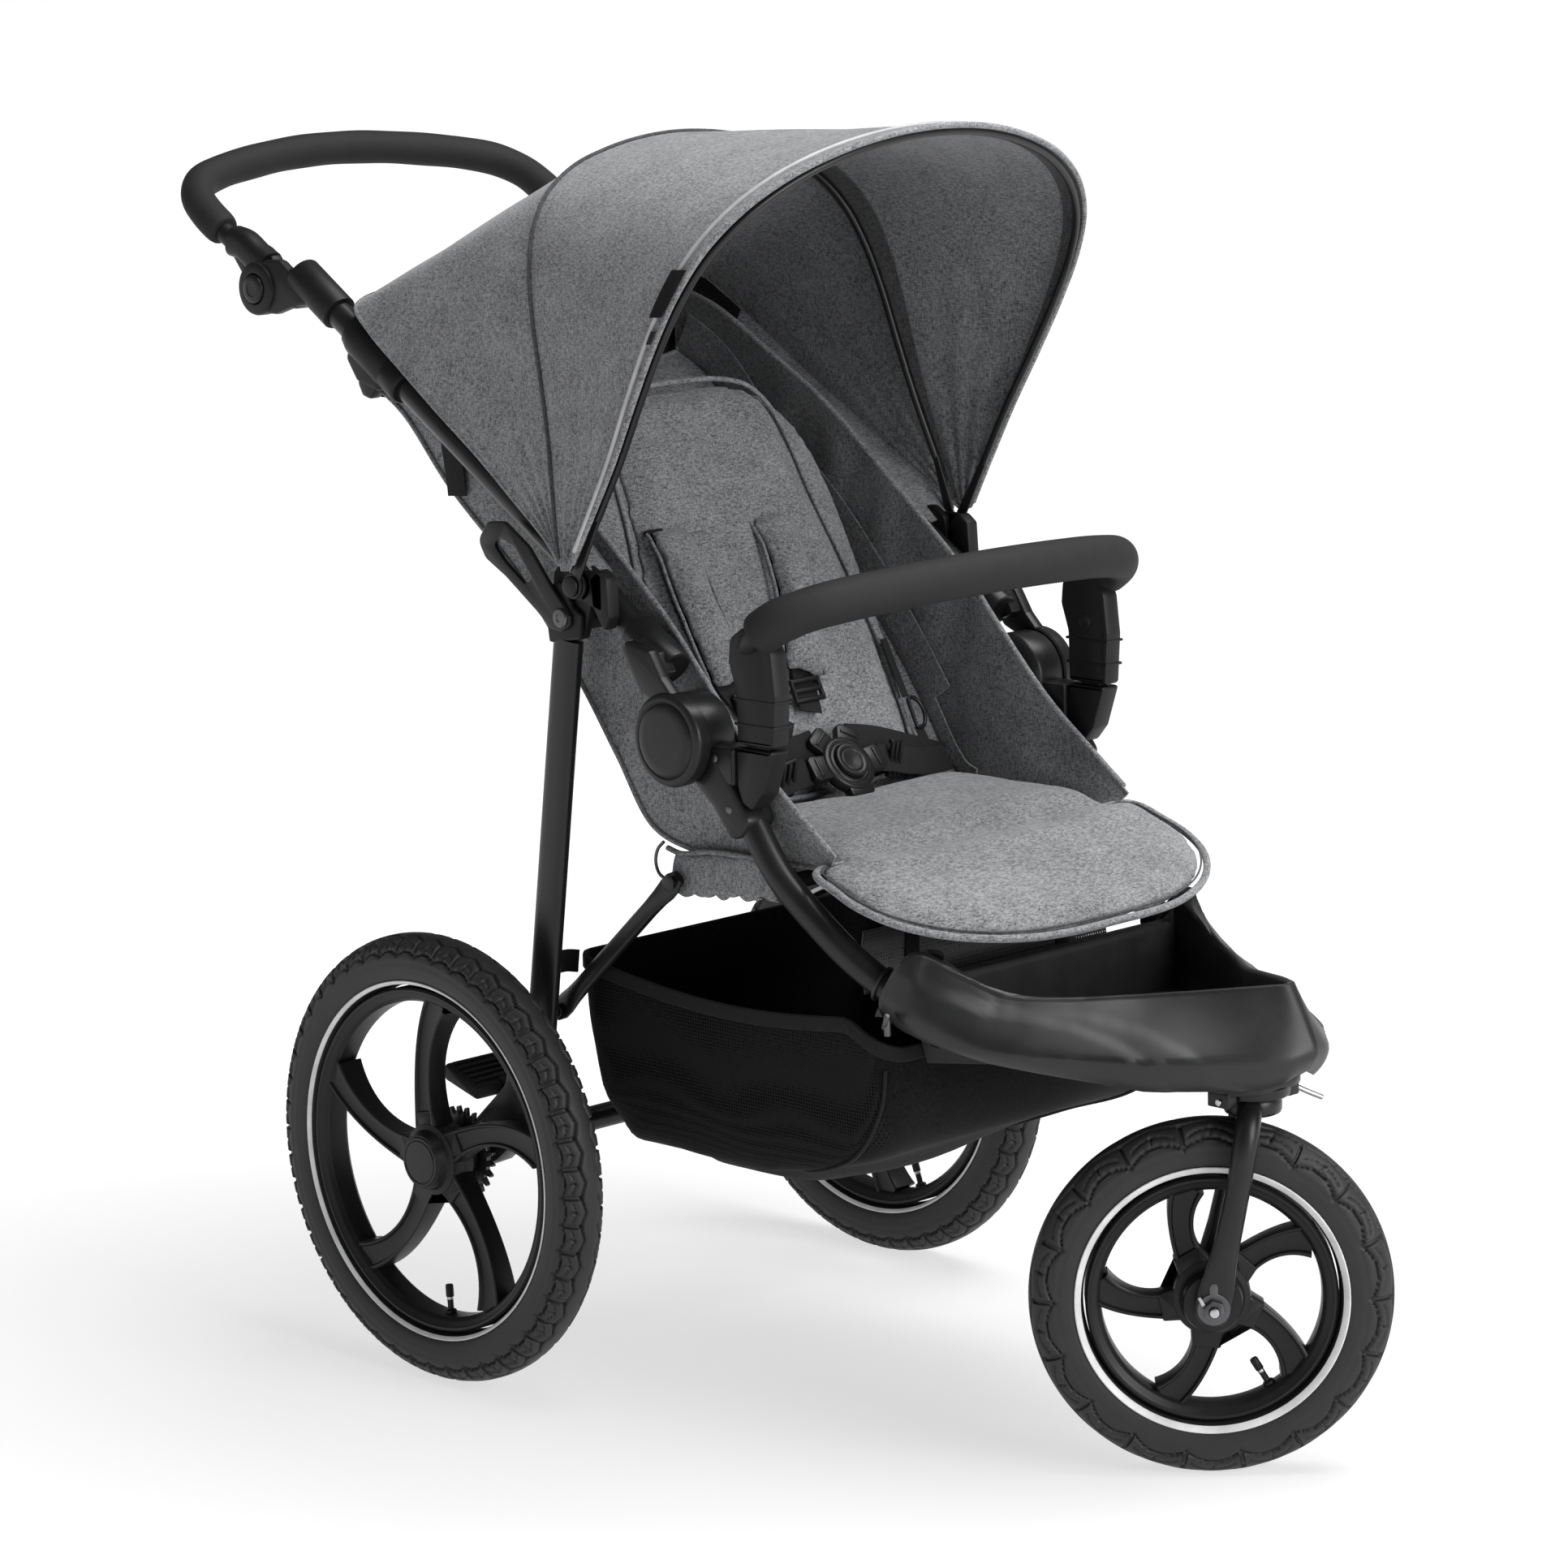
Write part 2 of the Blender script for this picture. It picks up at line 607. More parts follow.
area("key_top", (0.7, -0.8, 3.3), (0, 0, 0.5), 2.4, 134, 2.2)
area("key_front", (0.1, -3.7, 1.6), (0, 0, 0.65), 1.8, 95, 1.8)
area("rim_left", (-3.0, 0.9, 1.6), (0, 0.1, 0.6), 1.2, 3, 1.8)

fm, fnt, fbs = mat_new("pale_floor")
fbs.inputs["Base Color"].default_value = (0.3, 0.3, 0.3, 1)
fbs.inputs["Roughness"].default_value = 0.85
fbs.inputs["Emission Color"].default_value = (1, 1, 1, 1)
f_len = fnt.nodes.new("ShaderNodeVectorMath")
f_len.operation = "LENGTH"
fnt.links.new(coords(fnt), f_len.inputs[0])
fnt.links.new(ramp(fnt, mathn(fnt, "MULTIPLY", f_len.outputs["Value"], 0.1), [(0.05, (0.66, 0.66, 0.66)), (0.17, (0.99, 0.99, 0.99))]), fbs.inputs["Emission Color"])
fbs.inputs["Emission Strength"].default_value = 1.0
fbs.inputs["Specular IOR Level"].default_value = 0.1
bpy.ops.mesh.primitive_plane_add(size=60, location=(0, 0, 0))
floor = bpy.context.object
floor.name = "floor"
floor.data.materials.append(fm)

# ------------------------------------------------------------------ wheels
def wheel_frame(centre, axis):
    ax = np.array(axis, float)
    ty = np.cross([0, 0, 1.0], ax)
    c = np.array(centre, float)

    def to(h, a, r):
        h, a, r = np.broadcast_arrays(np.asarray(h, float), np.asarray(a, float), np.asarray(r, float))
        return c + h[..., None] * ax + (r * np.cos(a))[..., None] * ty + (r * np.sin(a))[..., None] * np.array([0, 0, 1.0])

    return to


def section(sec, n=88):
    """Tyre section points (h, dr) and their arc position from the middle of the tread."""
    th = np.linspace(-math.pi, math.pi, 1441)[:-1]
    c, s = np.sin(th), np.cos(th)  # th=0 at the tread's middle
    e = np.where(s > 0, 2 / 2.2, 2 / 3.0)
    h = sec * np.sign(c) * abs(c) ** e
    d = sec * np.sign(s) * abs(s) ** e
    arc = np.r_[0, np.cumsum(np.hypot(np.diff(h), np.diff(d)))]
    arc -= arc[720]
    tot = arc[-1] - arc[0]
    u = np.linspace(-1, 1, n + 1)[:-1]
    # denser over the tread
    q = np.sign(u) * (abs(u) ** 1.35) * tot / 2
    return np.interp(q, arc, h), np.interp(q, arc, d), q


def tyre_mesh(R, sec, pitches, amp, n_a):
    h, d, q = section(sec)
    m = len(q)
    a = np.arange(n_a) / n_a * 2 * math.pi
    A, Q = np.meshgrid(a, q, indexing="ij")
    H = np.broadcast_to(h, A.shape).copy()
    Dr = np.broadcast_to(d, A.shape).copy()
    p = 2 * math.pi / pitches
    sd = np.sign(Q)
    ph = (A / p + np.where(sd > 0, 0.5, 0.0)) % 1.0
    w = abs(np.sin(math.pi * ph))
    edge = 25.5 + amp * (1 - w ** 0.75)
    q_ = abs(Q)
    sm = lambda x, e0, e1: np.clip((x - e0) / (e1 - e0), 0, 1)
    up = 1 - sm(q_, edge - 0.6, edge + 0.6)
    rise = 0.9 * up
    groove = lambda dist, wd, dp: -1.75 * dp * np.exp(-((dist / (1.25 * wd)) ** 2))
    rise += groove(q_ - edge, 0.9, 1.6)
    # second arc inside the first and a zigzag near the middle
    e2 = edge - 6.5 - 2.5 * w
    rise += groove(q_ - e2, 0.8, 1.1) * (w > 0.35)
    tri = abs((ph * 2) % 2 - 1)
    rise += groove(q_ - (6.5 + 5.0 * tri), 0.9, 1.7)
    # cross cuts from each cusp to the zigzag
    lat = (ph - 0.5) * p * (R - 4)
    lat0 = np.where(abs(lat) > p * R / 2 - 2.2, 0, 9)
    rise += groove(lat0, 1.0, 1.4) * sm(q_, 9, 12) * (1 - sm(q_, edge - 1, edge))
    rise += groove(lat + 0.18 * (q_ - 18), 0.8, 1.2) * sm(q_, 13, 15) * (1 - sm(q_, 22, 24))
    # fine moulding lines on the side wall
    for q0 in (33.0, 40.5, 52.0):
        rise += 0.35 * np.exp(-(((q_ - q0) / 0.9) ** 2))
    lim = 1.0
    nh, nd = H / sec, Dr / sec
    L = np.hypot(nh, nd)
    off = np.minimum(rise - 0.9, lim)
    H = H + off * nh / L
    Dr = Dr + off * nd / L
    return A, R - sec + Dr, H, m


def add_tyre(name, to, R, sec, pitches, amp, n_a, body, node_name):
    A, r, H, m = tyre_mesh(R, sec, pitches, amp, n_a)
    V = to(H, A, r).reshape(-1, 3)
    F = []
    for i in range(n_a):
        i2 = (i + 1) % n_a
        for j in range(m):
            j2 = (j + 1) % m
            F.append((i * m + j, i * m + j2, i2 * m + j2, i2 * m + j))
    ob = mk(name, V, F, M["rubber"], 50)
    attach(ob, body)
    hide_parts(node_name)
    return ob


def revolve(to, prof, n=120, closed=True):
    """prof (r, h)"""
    prof = np.asarray(prof, float)
    a = np.arange(n) / n * 2 * math.pi
    A, Rr = np.meshgrid(a, prof[:, 0], indexing="ij")
    _, Hh = np.meshgrid(a, prof[:, 1], indexing="ij")
    m = len(prof)
    V = to(Hh, A, Rr).reshape(-1, 3)
    F = []
    for i in range(n):
        i2 = (i + 1) % n
        for j in range(m if closed else m - 1):
            j2 = (j + 1) % m
            F.append((i * m + j, i * m + j2, i2 * m + j2, i2 * m + j))
    return V, F


def side_ring(to, R, sec, rad, width, side):
    e = 3.0
    dr = abs(R - sec - rad)
    h = sec * (1 - (dr / sec) ** e) ** (1 / e)
    h2 = sec * (1 - (min(dr + 0.5, sec * 0.995) / sec) ** e) ** (1 / e)
    tx, ty = 0.5, (h - h2)
    L = math.hypot(tx, ty)
    tx, ty = tx / L, ty / L  # along the wall, outwards
    nx, ny = -ty, tx
    pts = []
    for u, v in rrect(width, 1.6, 0.6, 3):
        pts.append((rad + u * tx + (v + 0.1) * nx, side * (h + u * ty + (v + 0.1) * ny)))
    return revolve(to, pts, 200)


def spokes(to, R, sec, hub_w, lean, phase, hf):
    r0 = R - 2 * sec - 14
    parts = []
    n = 22
    for k in range(5):
        rings = []
        for i in range(n):
            t = i / (n - 1)
            r = 20 + (r0 + 5 - 20) * t
            a = (k * 72 + phase + lean * (12 * t * t + 8 * t)) * D2R
            hw = 10.2 + 4.6 * max(0, 1 - t / 0.5) ** 2 + 4.2 * max(0, (t - 0.5) / 0.5) ** 2
            hh = hf * (1 - 0.18 * math.sin(math.pi * t)) + 1.5 * t ** 4
            ch = 3.2 * min(1, 4 * t) if t < 0.9 else 3.2
            sec_pts = []
            for sgn in (1, -1):
                row = [(-1, 0.72), (-0.97, 0.93), (-0.86, 1.0), (-0.74, 0.99), (-0.62, None), (-0.4, None), (0, None), (0.4, None), (0.62, None), (0.74, 0.99), (0.86, 1.0), (0.97, 0.93), (1, 0.72)]
                out = [(x, (y * hh if y is not None else hh - ch * (1 if abs(x) < 0.5 else 0.86))) for x, y in row]
                if sgn < 0:
                    out = [(-x, -y) for x, y in out]
                sec_pts += out
            s = np.array([x for x, _ in sec_pts]) * hw
            hgt = np.array([y for _, y in sec_pts])
            # across direction is square to the curved centre line
            dt = 1e-3
            a2 = (k * 72 + phase + lean * (12 * (t + dt) ** 2 + 8 * (t + dt))) * D2R
            rr2 = 20 + (r0 + 5 - 20) * (t + dt)
            tx = rr2 * math.cos(a2) - r * math.cos(a)
            ty = rr2 * math.sin(a2) - r * math.sin(a)
            L = math.hypot(tx, ty)
            px, py = -ty / L, tx / L
            X, Y = r * math.cos(a) + s * px, r * math.sin(a) + s * py
            rings.append(to(hgt, np.arctan2(Y, X), np.hypot(X, Y)))
        m = rings[0].shape[0]
        F = grid_faces(n, m, wrap=True)
        F.append(tuple(range(m))[::-1])
        F.append(tuple((n - 1) * m + j for j in range(m)))
        parts.append((np.vstack(rings), F))
    # star-shaped core with fillets between the spokes
    pts = []
    rr = []
    for k in range(5):
        a = (k * 72 + phase + lean * 1.8) * D2R
        for sg in (-1, 1):
            off = math.atan2(11.8, 43)
            pts.append((44.5 * math.cos(a + sg * off), 44.5 * math.sin(a + sg * off)))
            rr.append(2)
        b = a + 36 * D2R
        pts.append((26 * math.cos(b), 26 * math.sin(b)))
        rr.append(9)
    o = rounded(pts, rr, 8)
    f3 = lambda u, v, w: to(w, np.arctan2(v, u), np.hypot(u, v))
    parts.append(prism(o, -hf + 1.2, hf - 1.2, 2.0, f3))
    return merge(*parts)


def wheel(tag, centre, axis, R, sec, pitches, amp, ring_r, ring_w, lean, phase, valve_deg, hub_w, body, n_a, tyre_node, rim_node):
    to = wheel_frame(centre, axis)
    add_tyre("tyre_" + tag, to, R, sec, pitches, amp, n_a, body, tyre_node)
    for nm, sg in (("outer", 1), ("inner", -1)):
        piece(f"reflective_ring_{tag}_{nm}", side_ring(to, R, sec, ring_r, ring_w, sg), "ring", body)
    r1 = R - 2 * sec - 0.3
    rp = [(r1, -14.5), (r1, 14.5), (r1 - 2, 16.6), (r1 - 4, 16.4), (r1 - 5.5, 15), (r1 - 8.5, 14.2), (r1 - 10.5, 12.6), (r1 - 11.5, 10.5), (r1 - 12.7, 9.5), (r1 - 13.2, 6), (r1 - 13.4, 0)]
    rp += [(r, -h) for r, h in rp[::-1] if h > 0][:-1]
    rim = revolve(to, rp, 180)
    sp = spokes(to, R, sec, hub_w, lean, phase, 12.0)
    hubs = []
    for sg in (1, -1):
        hp = [(0, 0), (31.5, 0), (32.5, 9 * sg), (31.5, 11.6 * sg), (27, 13 * sg), (25.4, 15 * sg), (24.6, (hub_w - 3) * sg), (23.6, (hub_w - 1.4) * sg), (0, (hub_w - 1.4) * sg)]
        hubs.append(revolve(to, hp, 72, closed=False))
    core = mk("wheel_" + tag, *merge(rim, sp, *hubs), M["rim"], 32)
    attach(core, body)
    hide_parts(rim_node)
    # valve
    a = valve_deg * D2R
    radial = np.array(to(0, a, 1) - to(0, a, 0))
    base = to(0, a, r1 - 13.4)
    P = lambda d: base - radial * d
    prof = [(5.2, -1), (5.2, 2), (4.2, 3), (2.7, 3.6), (2.7, 12)]
    v1 = lathe([(0, -1)] + prof + [(0, 12)], tuple(-radial), tuple(base), 24, closed=False)
    piece("valve_stem_" + tag, v1, "rim", body)
    v2 = lathe([(0, 12.1), (2.9, 12.1), (2.9, 14.2), (0, 14.2)], tuple(-radial), tuple(base), 24, closed=False)
    piece("valve_collar_" + tag, v2, "steel", body)
    v3 = lathe([(0, 14.3), (3.2, 14.3), (3.6, 15), (3.6, 24), (3.0, 25.4), (0, 25.6)], tuple(-radial), tuple(base), 14, closed=False)
    piece("valve_cap_" + tag, v3, "plastic", body)
    return to


tR = wheel("rear_right", (-277, 0, 200), (1, 0, 0), 200, 23, 48, 5.0, 158.8, 4.3, 1, 4.6, 267, 24, "wheel_right", 960, "rear_tyre_right", "rear_rim_right")
tL = wheel("rear_left", (277, 0, 200), (1, 0, 0), 200, 23, 48, 5.0, 158.8, 4.3, -1, -4.6, 250, 24, "wheel_left", 960, "rear_tyre_left", "rear_rim_left")
TH = 43.8 * D2R
FW = (-35 * math.sin(TH), -699 + 35 * math.cos(TH), 150)
FAX = (math.cos(TH), math.sin(TH), 0)
tF = wheel("front", FW, FAX, 150, 23, 18, 9.0, 110.2, 6.6, 1, -13.4, 238.5, 31, "front_wheel", 760, "front_tyre", "front_rim")
# hub caps on the outer sides
for tag, to, sg, body in (("right", tR, -1, "wheel_right"), ("left", tL, 1, "wheel_left")):
    cp = [(0, 18), (22.6, 18), (22.6, 22.4), (21.6, 23.9), (20, 23.9), (19.4, 23.2), (18.8, 23.2), (18.2, 24.0), (9, 24.3), (0, 24.3)]
    piece("hub_cover_" + tag, revolve(to, [(r, h * sg) for r, h in cp], 72, closed=False), "satin", body)
    # toothed brake ring on the inner side, and its carrier
    n = 24
    pts = []
    for i in range(n):
        for r, o in ((33.5, 0.0), (34, 0.3), (40.5, 0.52), (40.8, 0.68), (34, 0.9)):
            an = (i + o) / n * 2 * math.pi
            pts.append((r * math.cos(an), r * math.sin(an)))
    f3 = lambda u, v, w, to=to: to(w, np.arctan2(v, u), np.hypot(u, v))
    g = prism(pts, -sg * 24.9, -sg * 29.6, 0.4, f3)
    ob = piece("brake_ring_" + tag, g, "darksteel", body, "brake_rotor_" + tag, 30)


# ------------------------------------------------------------------ shape helpers
def loft_path(path, A, B, up, n=28, e=2.0, cap=True):
    """Sweep with a varying section: A is the half size along `up`, B across it; e is the superellipse exponent."""
    p = np.asarray(path, float)
    T, N, Bi = frames(p, up)
    a = np.arange(n) / n * 2 * math.pi
    cx = np.sign(np.cos(a)) * abs(np.cos(a)) ** (2 / e)
    cy = np.sign(np.sin(a)) * abs(np.sin(a)) ** (2 / e)
    A = np.broadcast_to(np.asarray(A, float), (len(p),))
    B = np.broadcast_to(np.asarray(B, float), (len(p),))
    rings = [p[i] + A[i] * cx[:, None] * N[i] + B[i] * cy[:, None] * Bi[i] for i in range(len(p))]
    F = grid_faces(len(p), n, wrap=True)
    if cap:
        F.append(tuple(range(n))[::-1])
        F.append(tuple((len(p) - 1) * n + j for j in range(n)))
    return np.vstack(rings), F


def rod3(a, b, r, n=24, b_=0.8):
    a, b = np.asarray(a, float), np.asarray(b, float)
    L = np.linalg.norm(b - a)
    k = min(b_, L * 0.3, r * 0.5)
    pr = [(0, 0), (r - k, 0), (r - 0.3 * k, 0.3 * k), (r, k), (r, L - k), (r - 0.3 * k, L - 0.3 * k), (r - k, L), (0, L)]
    return lathe(pr, tuple(b - a), tuple(a), n, closed=False)


def ring3(a, b, r0, r1, n=48, b_=1.0):
    """Sleeve: a closed ring from a to b."""
    a, b = np.asarray(a, float), np.asarray(b, float)
    L = np.linalg.norm(b - a)
    k = b_
    pr = [(r0, 0), (r1 - k, 0), (r1 - 0.3 * k, 0.3 * k), (r1, k), (r1, L - k), (r1 - 0.3 * k, L - 0.3 * k), (r1 - k, L), (r0, L)]
    return lathe(pr, tuple(b - a), tuple(a), n)


def up_line(y):
    return (y, 634 + (y + 258) * 0.6535)


def P3(yz, x=200.0):
    return (x, yz[0], yz[1])


def on_tube(s, x=200.0):
    """Point at distance s (mm) up the push tube from its lower end."""
    k = s / math.hypot(1, 0.6535)
    return P3(up_line(-236 + k), x)


def rivet(at, axis, r=4.0, h=1.4):
    return lathe([(0, 0), (r, 0), (r, 0.4 * h), (r * 0.75, 0.85 * h), (r * 0.3, h), (0, h)], axis, at, 20, closed=False)


# ------------------------------------------------------------------ lower frame
lower = [(200, -284, 576), (200, -290, 569), (200, -325, 530), (200, -343, 505), (199, -361, 483), (190, -394, 449), (180, -422, 422), (169, -448, 401), (163, -474, 388)]
sides("frame_tube_lower", tube(lower, 12.5, 32, step=5), "tube", "chassis", "lower_tube")

g_disc = lathe([(0, 184), (30, 184), (34, 185), (37, 187.5), (38, 190), (38, 213), (37.4, 216), (36.5, 216.5), (0, 216.5)], (1, 0, 0), (0, -258, 594), 64, closed=False)
o = rounded([[-262, 566], [-290, 596], [-308, 574], [-341, 531], [-330, 519], [-316, 513], [-294, 540]], [8, 10, 10, 9, 6, 8, 10], 6)
g_sl = prism(o, 183.6, 216.4, 5.0)
o = rounded([[-270, 560], [-268, 592], [-322, 592], [-322, 560]], [6, 6, 3, 3], 4)
g_lk = prism(o, 189, 215.5, 3.0)
sides("hub_base", merge(g_disc, g_sl, g_lk), "satin", "chassis", "hub_base", 42)
o = rounded([[-323, 593.6], [-323, 560], [-328, 546], [-340, 541], [-353, 556], [-366, 593.6]], [1.5, 4, 6, 6, 8, 3], 5)
sides("bumper_socket", prism(o, 192, 214, 3.5), "plastic", "chassis", "bumper_socket", 42)
for i, (y, z) in enumerate(((-316, 540), (-300, 582))):
    sides(f"hub_rivet_{i}", rivet((216.2, y, z), (1, 0, 0), 3.6, 1.2), "darksteel", "chassis")

# front tray
t_out = [(188, -443), (190, -480), (186, -512), (176, -548), (158, -588), (137, -625), (118, -655), (98, -688), (76, -714), (50, -740), (24, -762), (0, -772)]
t_rim = [(180, -443), (174, -484), (151, -521), (131, -561), (101, -602), (69, -641), (46, -681), (29, -712), (16, -731), (10, -739), (5, -743), (0, -744)]
t_in = [(150, -484), (149, -487), (141, -520), (122, -560), (93, -600), (60, -640), (38, -680), (21, -710), (13, -722), (8, -729), (4, -732), (0, -733)]
bot_p = np.array([(-443, 377), (-470, 369), (-512, 361), (-560, 351), (-600, 345), (-640, 339), (-672, 333.5), (-745, 333.5), (-762, 339), (-774, 350)])[::-1]
top_p = np.array([(-443, 433), (-477, 434), (-490, 431), (-520, 414), (-545, 402), (-560, 399.5), (-600, 400), (-640, 403), (-680, 408), (-710, 412), (-735, 415), (-745, 415)])[::-1]


def plan_ring(pts, n_side=84):
    h = spline(pts, n=n_side)
    h[:, 0] = np.maximum(h[:, 0], 0)
    return np.vstack([h, h[-2::-1] * [-1, 1]])


def resample(poly, n):
    q = np.asarray(poly, float)
    L = np.r_[0, np.cumsum(np.linalg.norm(np.diff(q, axis=0), axis=1))]
    u = np.linspace(0, L[-1], n + 2)[1:-1]
    return np.c_[[np.interp(u, L, q[:, k]) for k in range(2)]].T


sm01 = lambda x, a, b: (lambda t: t * t * (3 - 2 * t))(np.clip((x - a) / (b - a), 0, 1))
n_b = 70
bo = resample([(-188, -443), (-153, -443), (-150.5, -445), (-150, -448), (-150, -467), (-149, -469.4), (-146, -470), (146, -470), (149, -469.4), (150, -467), (150, -448), (150.5, -445), (153, -443), (188, -443)], n_b)
wall_ = abs(bo[:, 0]) < 149.5
bi = np.c_[np.where(wall_, bo[:, 0] * 0.975, np.sign(bo[:, 0]) * (146 + 0.08 * (abs(bo[:, 0]) - 150 + (bo[:, 1] + 470)))), np.full(n_b, -484.5)]
tro = np.vstack([plan_ring(t_out), bo])
trr = np.vstack([plan_ring(t_rim), np.c_[np.where(wall_, bo[:, 0], np.sign(bo[:, 0]) * (150 + (abs(bo[:, 0]) - 150) * 0.8)), bo[:, 1]]])
tri = np.vstack([plan_ring(t_in), bi])
n_full = len(tro) - n_b
isb = np.arange(len(tro)) >= n_full
mid_b = isb & np.r_[np.zeros(n_full, bool), wall_]
zb = np.interp(tro[:, 1], bot_p[:, 0], bot_p[:, 1])
zt = np.interp(trr[:, 1], top_p[:, 0], top_p[:, 1])
zb = np.where(mid_b, 336, zb)
zt = np.where(mid_b, 408, zt)
zti = np.interp(tri[:, 1], top_p[:, 0], top_p[:, 1])
zti = np.where(mid_b, 408, zti)
# creases down the outer sides: z of each crease along the outline
cy1 = np.array([(-772, 320), (-722, 340), (-714, 358), (-701, 369), (-681, 380), (-653, 386), (-633, 390), (-594, 391), (-554, 396), (-511, 410), (-480, 426)])
cy2 = np.array([(-772, 300), (-690, 335), (-677, 359), (-667, 366), (-654, 373), (-628, 382), (-597, 387), (-554, 391), (-511, 404), (-480, 420)])
c1 = np.interp(tro[:, 1], cy1[:, 0], cy1[:, 1])
c2 = np.interp(tro[:, 1], cy2[:, 0], cy2[:, 1])
mouth = sm01(tro[:, 1], -500, -478)
rings = []
levels = [0.0, 0.02, 0.05, 0.09, 0.14, 0.19, 0.24, 0.29, 0.34, 0.39, 0.44, 0.49, 0.54, 0.59, 0.64, 0.69, 0.74, 0.79, 0.84, 0.89, 0.93, 0.965, 0.985]
for f in levels:
    z = zb + f * (zt - zb)
    # the widest line lies a third of the way up; above it the side leans in to the rim
    g = np.clip((z - 361) / np.maximum(zt - 361, 1), 0, 1)
    g = np.where(mid_b, 0, g ** (1.12 - 0.2 * mouth))
    lean = tro + (trr - tro) * g[:, None]
    foot = np.clip(1 - (z - zb) / 26, 0, 1)
    d_in = np.where(isb, 3 * foot ** 2, 13 * foot ** 2.2)
    # round sleeve mouths
    d_in = d_in + mouth * np.where(mid_b, 0, 5.5 * np.clip((f - 0.7) / 0.3, 0, 1) ** 2)
    raise_ = 1.5 * sm01(c1 - z, -1.3, 1.3) + 1.9 * sm01(c2 - z, -1.3, 1.3)
    raise_ = np.where(isb, 0, raise_ * sm01(-tro[:, 1], 448, 500))
    q = inset(lean, d_in - raise_ + 2.2 * sm01(-tro[:, 1], 448, 500))
    q[:, 1] -= np.where(mid_b, 0, np.clip((z - 377) / 55, 0, 1) * 34 * np.where(isb, 1, np.clip((tro[:, 1] + 500) / 57, 0, 1)))
    rings.append(np.c_[q, z])
last = rings[-1]
for w_, dz in ((0.1, 0.7), (0.32, 1.5), (0.66, 1.5), (0.9, 0.5)):
    q = last[:, :2] * (1 - w_) + tri * w_
    rings.append(np.c_[q, zt * (1 - w_) + zti * w_ + dz])
for f in (0.97, 0.9, 0.75, 0.6, 0.45, 0.3, 0.18, 0.1, 0.05):
    z = 347 + f * (zti - 347)
    q = inset(tri, 4 * (1 - f) + (3.5 * (1 - f / 0.18) if f < 0.18 else 0))
    q[n_full:, 0] = bi[:, 0]
    q[n_full:, 1] = bi[:, 1] - 4 * (1 - f)
    rings.append(np.c_[q, z])
n_r = len(tro)
V_ = np.vstack(rings)
F_ = grid_faces(len(rings), n_r, wrap=True)
F_.append(tuple(range(n_r))[::-1])
F_.append(tuple((len(rings) - 1) * n_r + j for j in range(n_r)))
tray = piece("front_tray", (V_, F_), "tray", "chassis", "front_tray", 40)
for sx in (1, -1):
    pth = np.array([(sx * 170.4, -443.8, 403.6), (sx * 169.4, -446.6, 402.2)])
    piece(f"tray_mouth_{'left' if sx > 0 else 'right'}", ring3(pth[1], pth[0], 12.6, 15.6), "tray", "chassis")

# swivel bearing, its lugs and lock
SW = -699.0
pl = np.array([(44 * math.copysign(abs(math.cos(t)) ** 0.75, math.cos(t)), SW + 30 * math.copysign(abs(math.sin(t)) ** 0.85, math.sin(t))) for t in np.arange(72) / 72 * 2 * math.pi])
zp = lambda u, v, w: np.c_[u, v, w]
g1 = prism(pl, 326, 333.2, 1.5, zp)
g2 = lathe([(12.5, 318), (28, 318), (30.4, 319.5), (31, 322), (31, 327), (12.5, 327)], (0, 0, 1), (0, SW, 0), 64)
lug = []
for x0, x1, hy in ((30, 44, 13.5), (-44, -31, 11.5)):
    o = rounded([(x0, SW - hy), (x1, SW - hy), (x1, SW + hy), (x0, SW + hy)], 3, 4)
    lug.append(prism(o, 312.5 if x0 > 0 else 315, 328, 1.4, zp))
for k in range(3):
    o = rounded([(28.8, SW - 9 + 7 * k), (45.0, SW - 9 + 7 * k), (45.0, SW - 7.4 + 7 * k), (28.8, SW - 7.4 + 7 * k)], 0.5, 2)
    lug.append(prism(o, 314, 327, 0.4, zp))
piece("swivel_bearing", merge(g1, g2, *lug), "satin", "chassis", "swivel_bearing", 42)
piece("swivel_lug_pin", merge(rod3((28.4, SW + 3, 319), (30.2, SW + 3, 319), 3), rod3((-46, SW - 2, 320), (-43.8, SW - 2, 320), 3)), "steel", "chassis")
o = rounded([(SW - 9, 312), (SW + 9, 312), (SW + 9, 326), (SW - 9, 326)], 3, 4)
lev = merge(prism(o, 44.9, 47.4, 0.5), sweep(spline([(46, SW - 4, 318), (48, SW - 6, 316.5), (57, SW - 12, 311), (66, SW - 18, 306)], step=2), circle(2.3, 16), dome=1.2))
piece("swivel_lock_lever", lev, "steel", "swivel_lock", "swivel_lock_lever", 40)

# seat frame rails under the cushion
o = rounded([[-352, 474], [-340, 488], [-226, 475], [-216, 464], [-226, 454], [-330, 461]], [4, 6, 6, 6, 6, 6], 4)
sf = merge(prism(o, 179.2, 186.8, 1.4), mirror(prism(o, 179.2, 186.8, 1.4)), rod3((-182, -240, 465), (182, -240, 465), 7, 24), rod3((-182, -330, 472), (182, -330, 472), 7, 24))
piece("seat_frame", sf, "tube", "chassis", "seat_frame", 40)

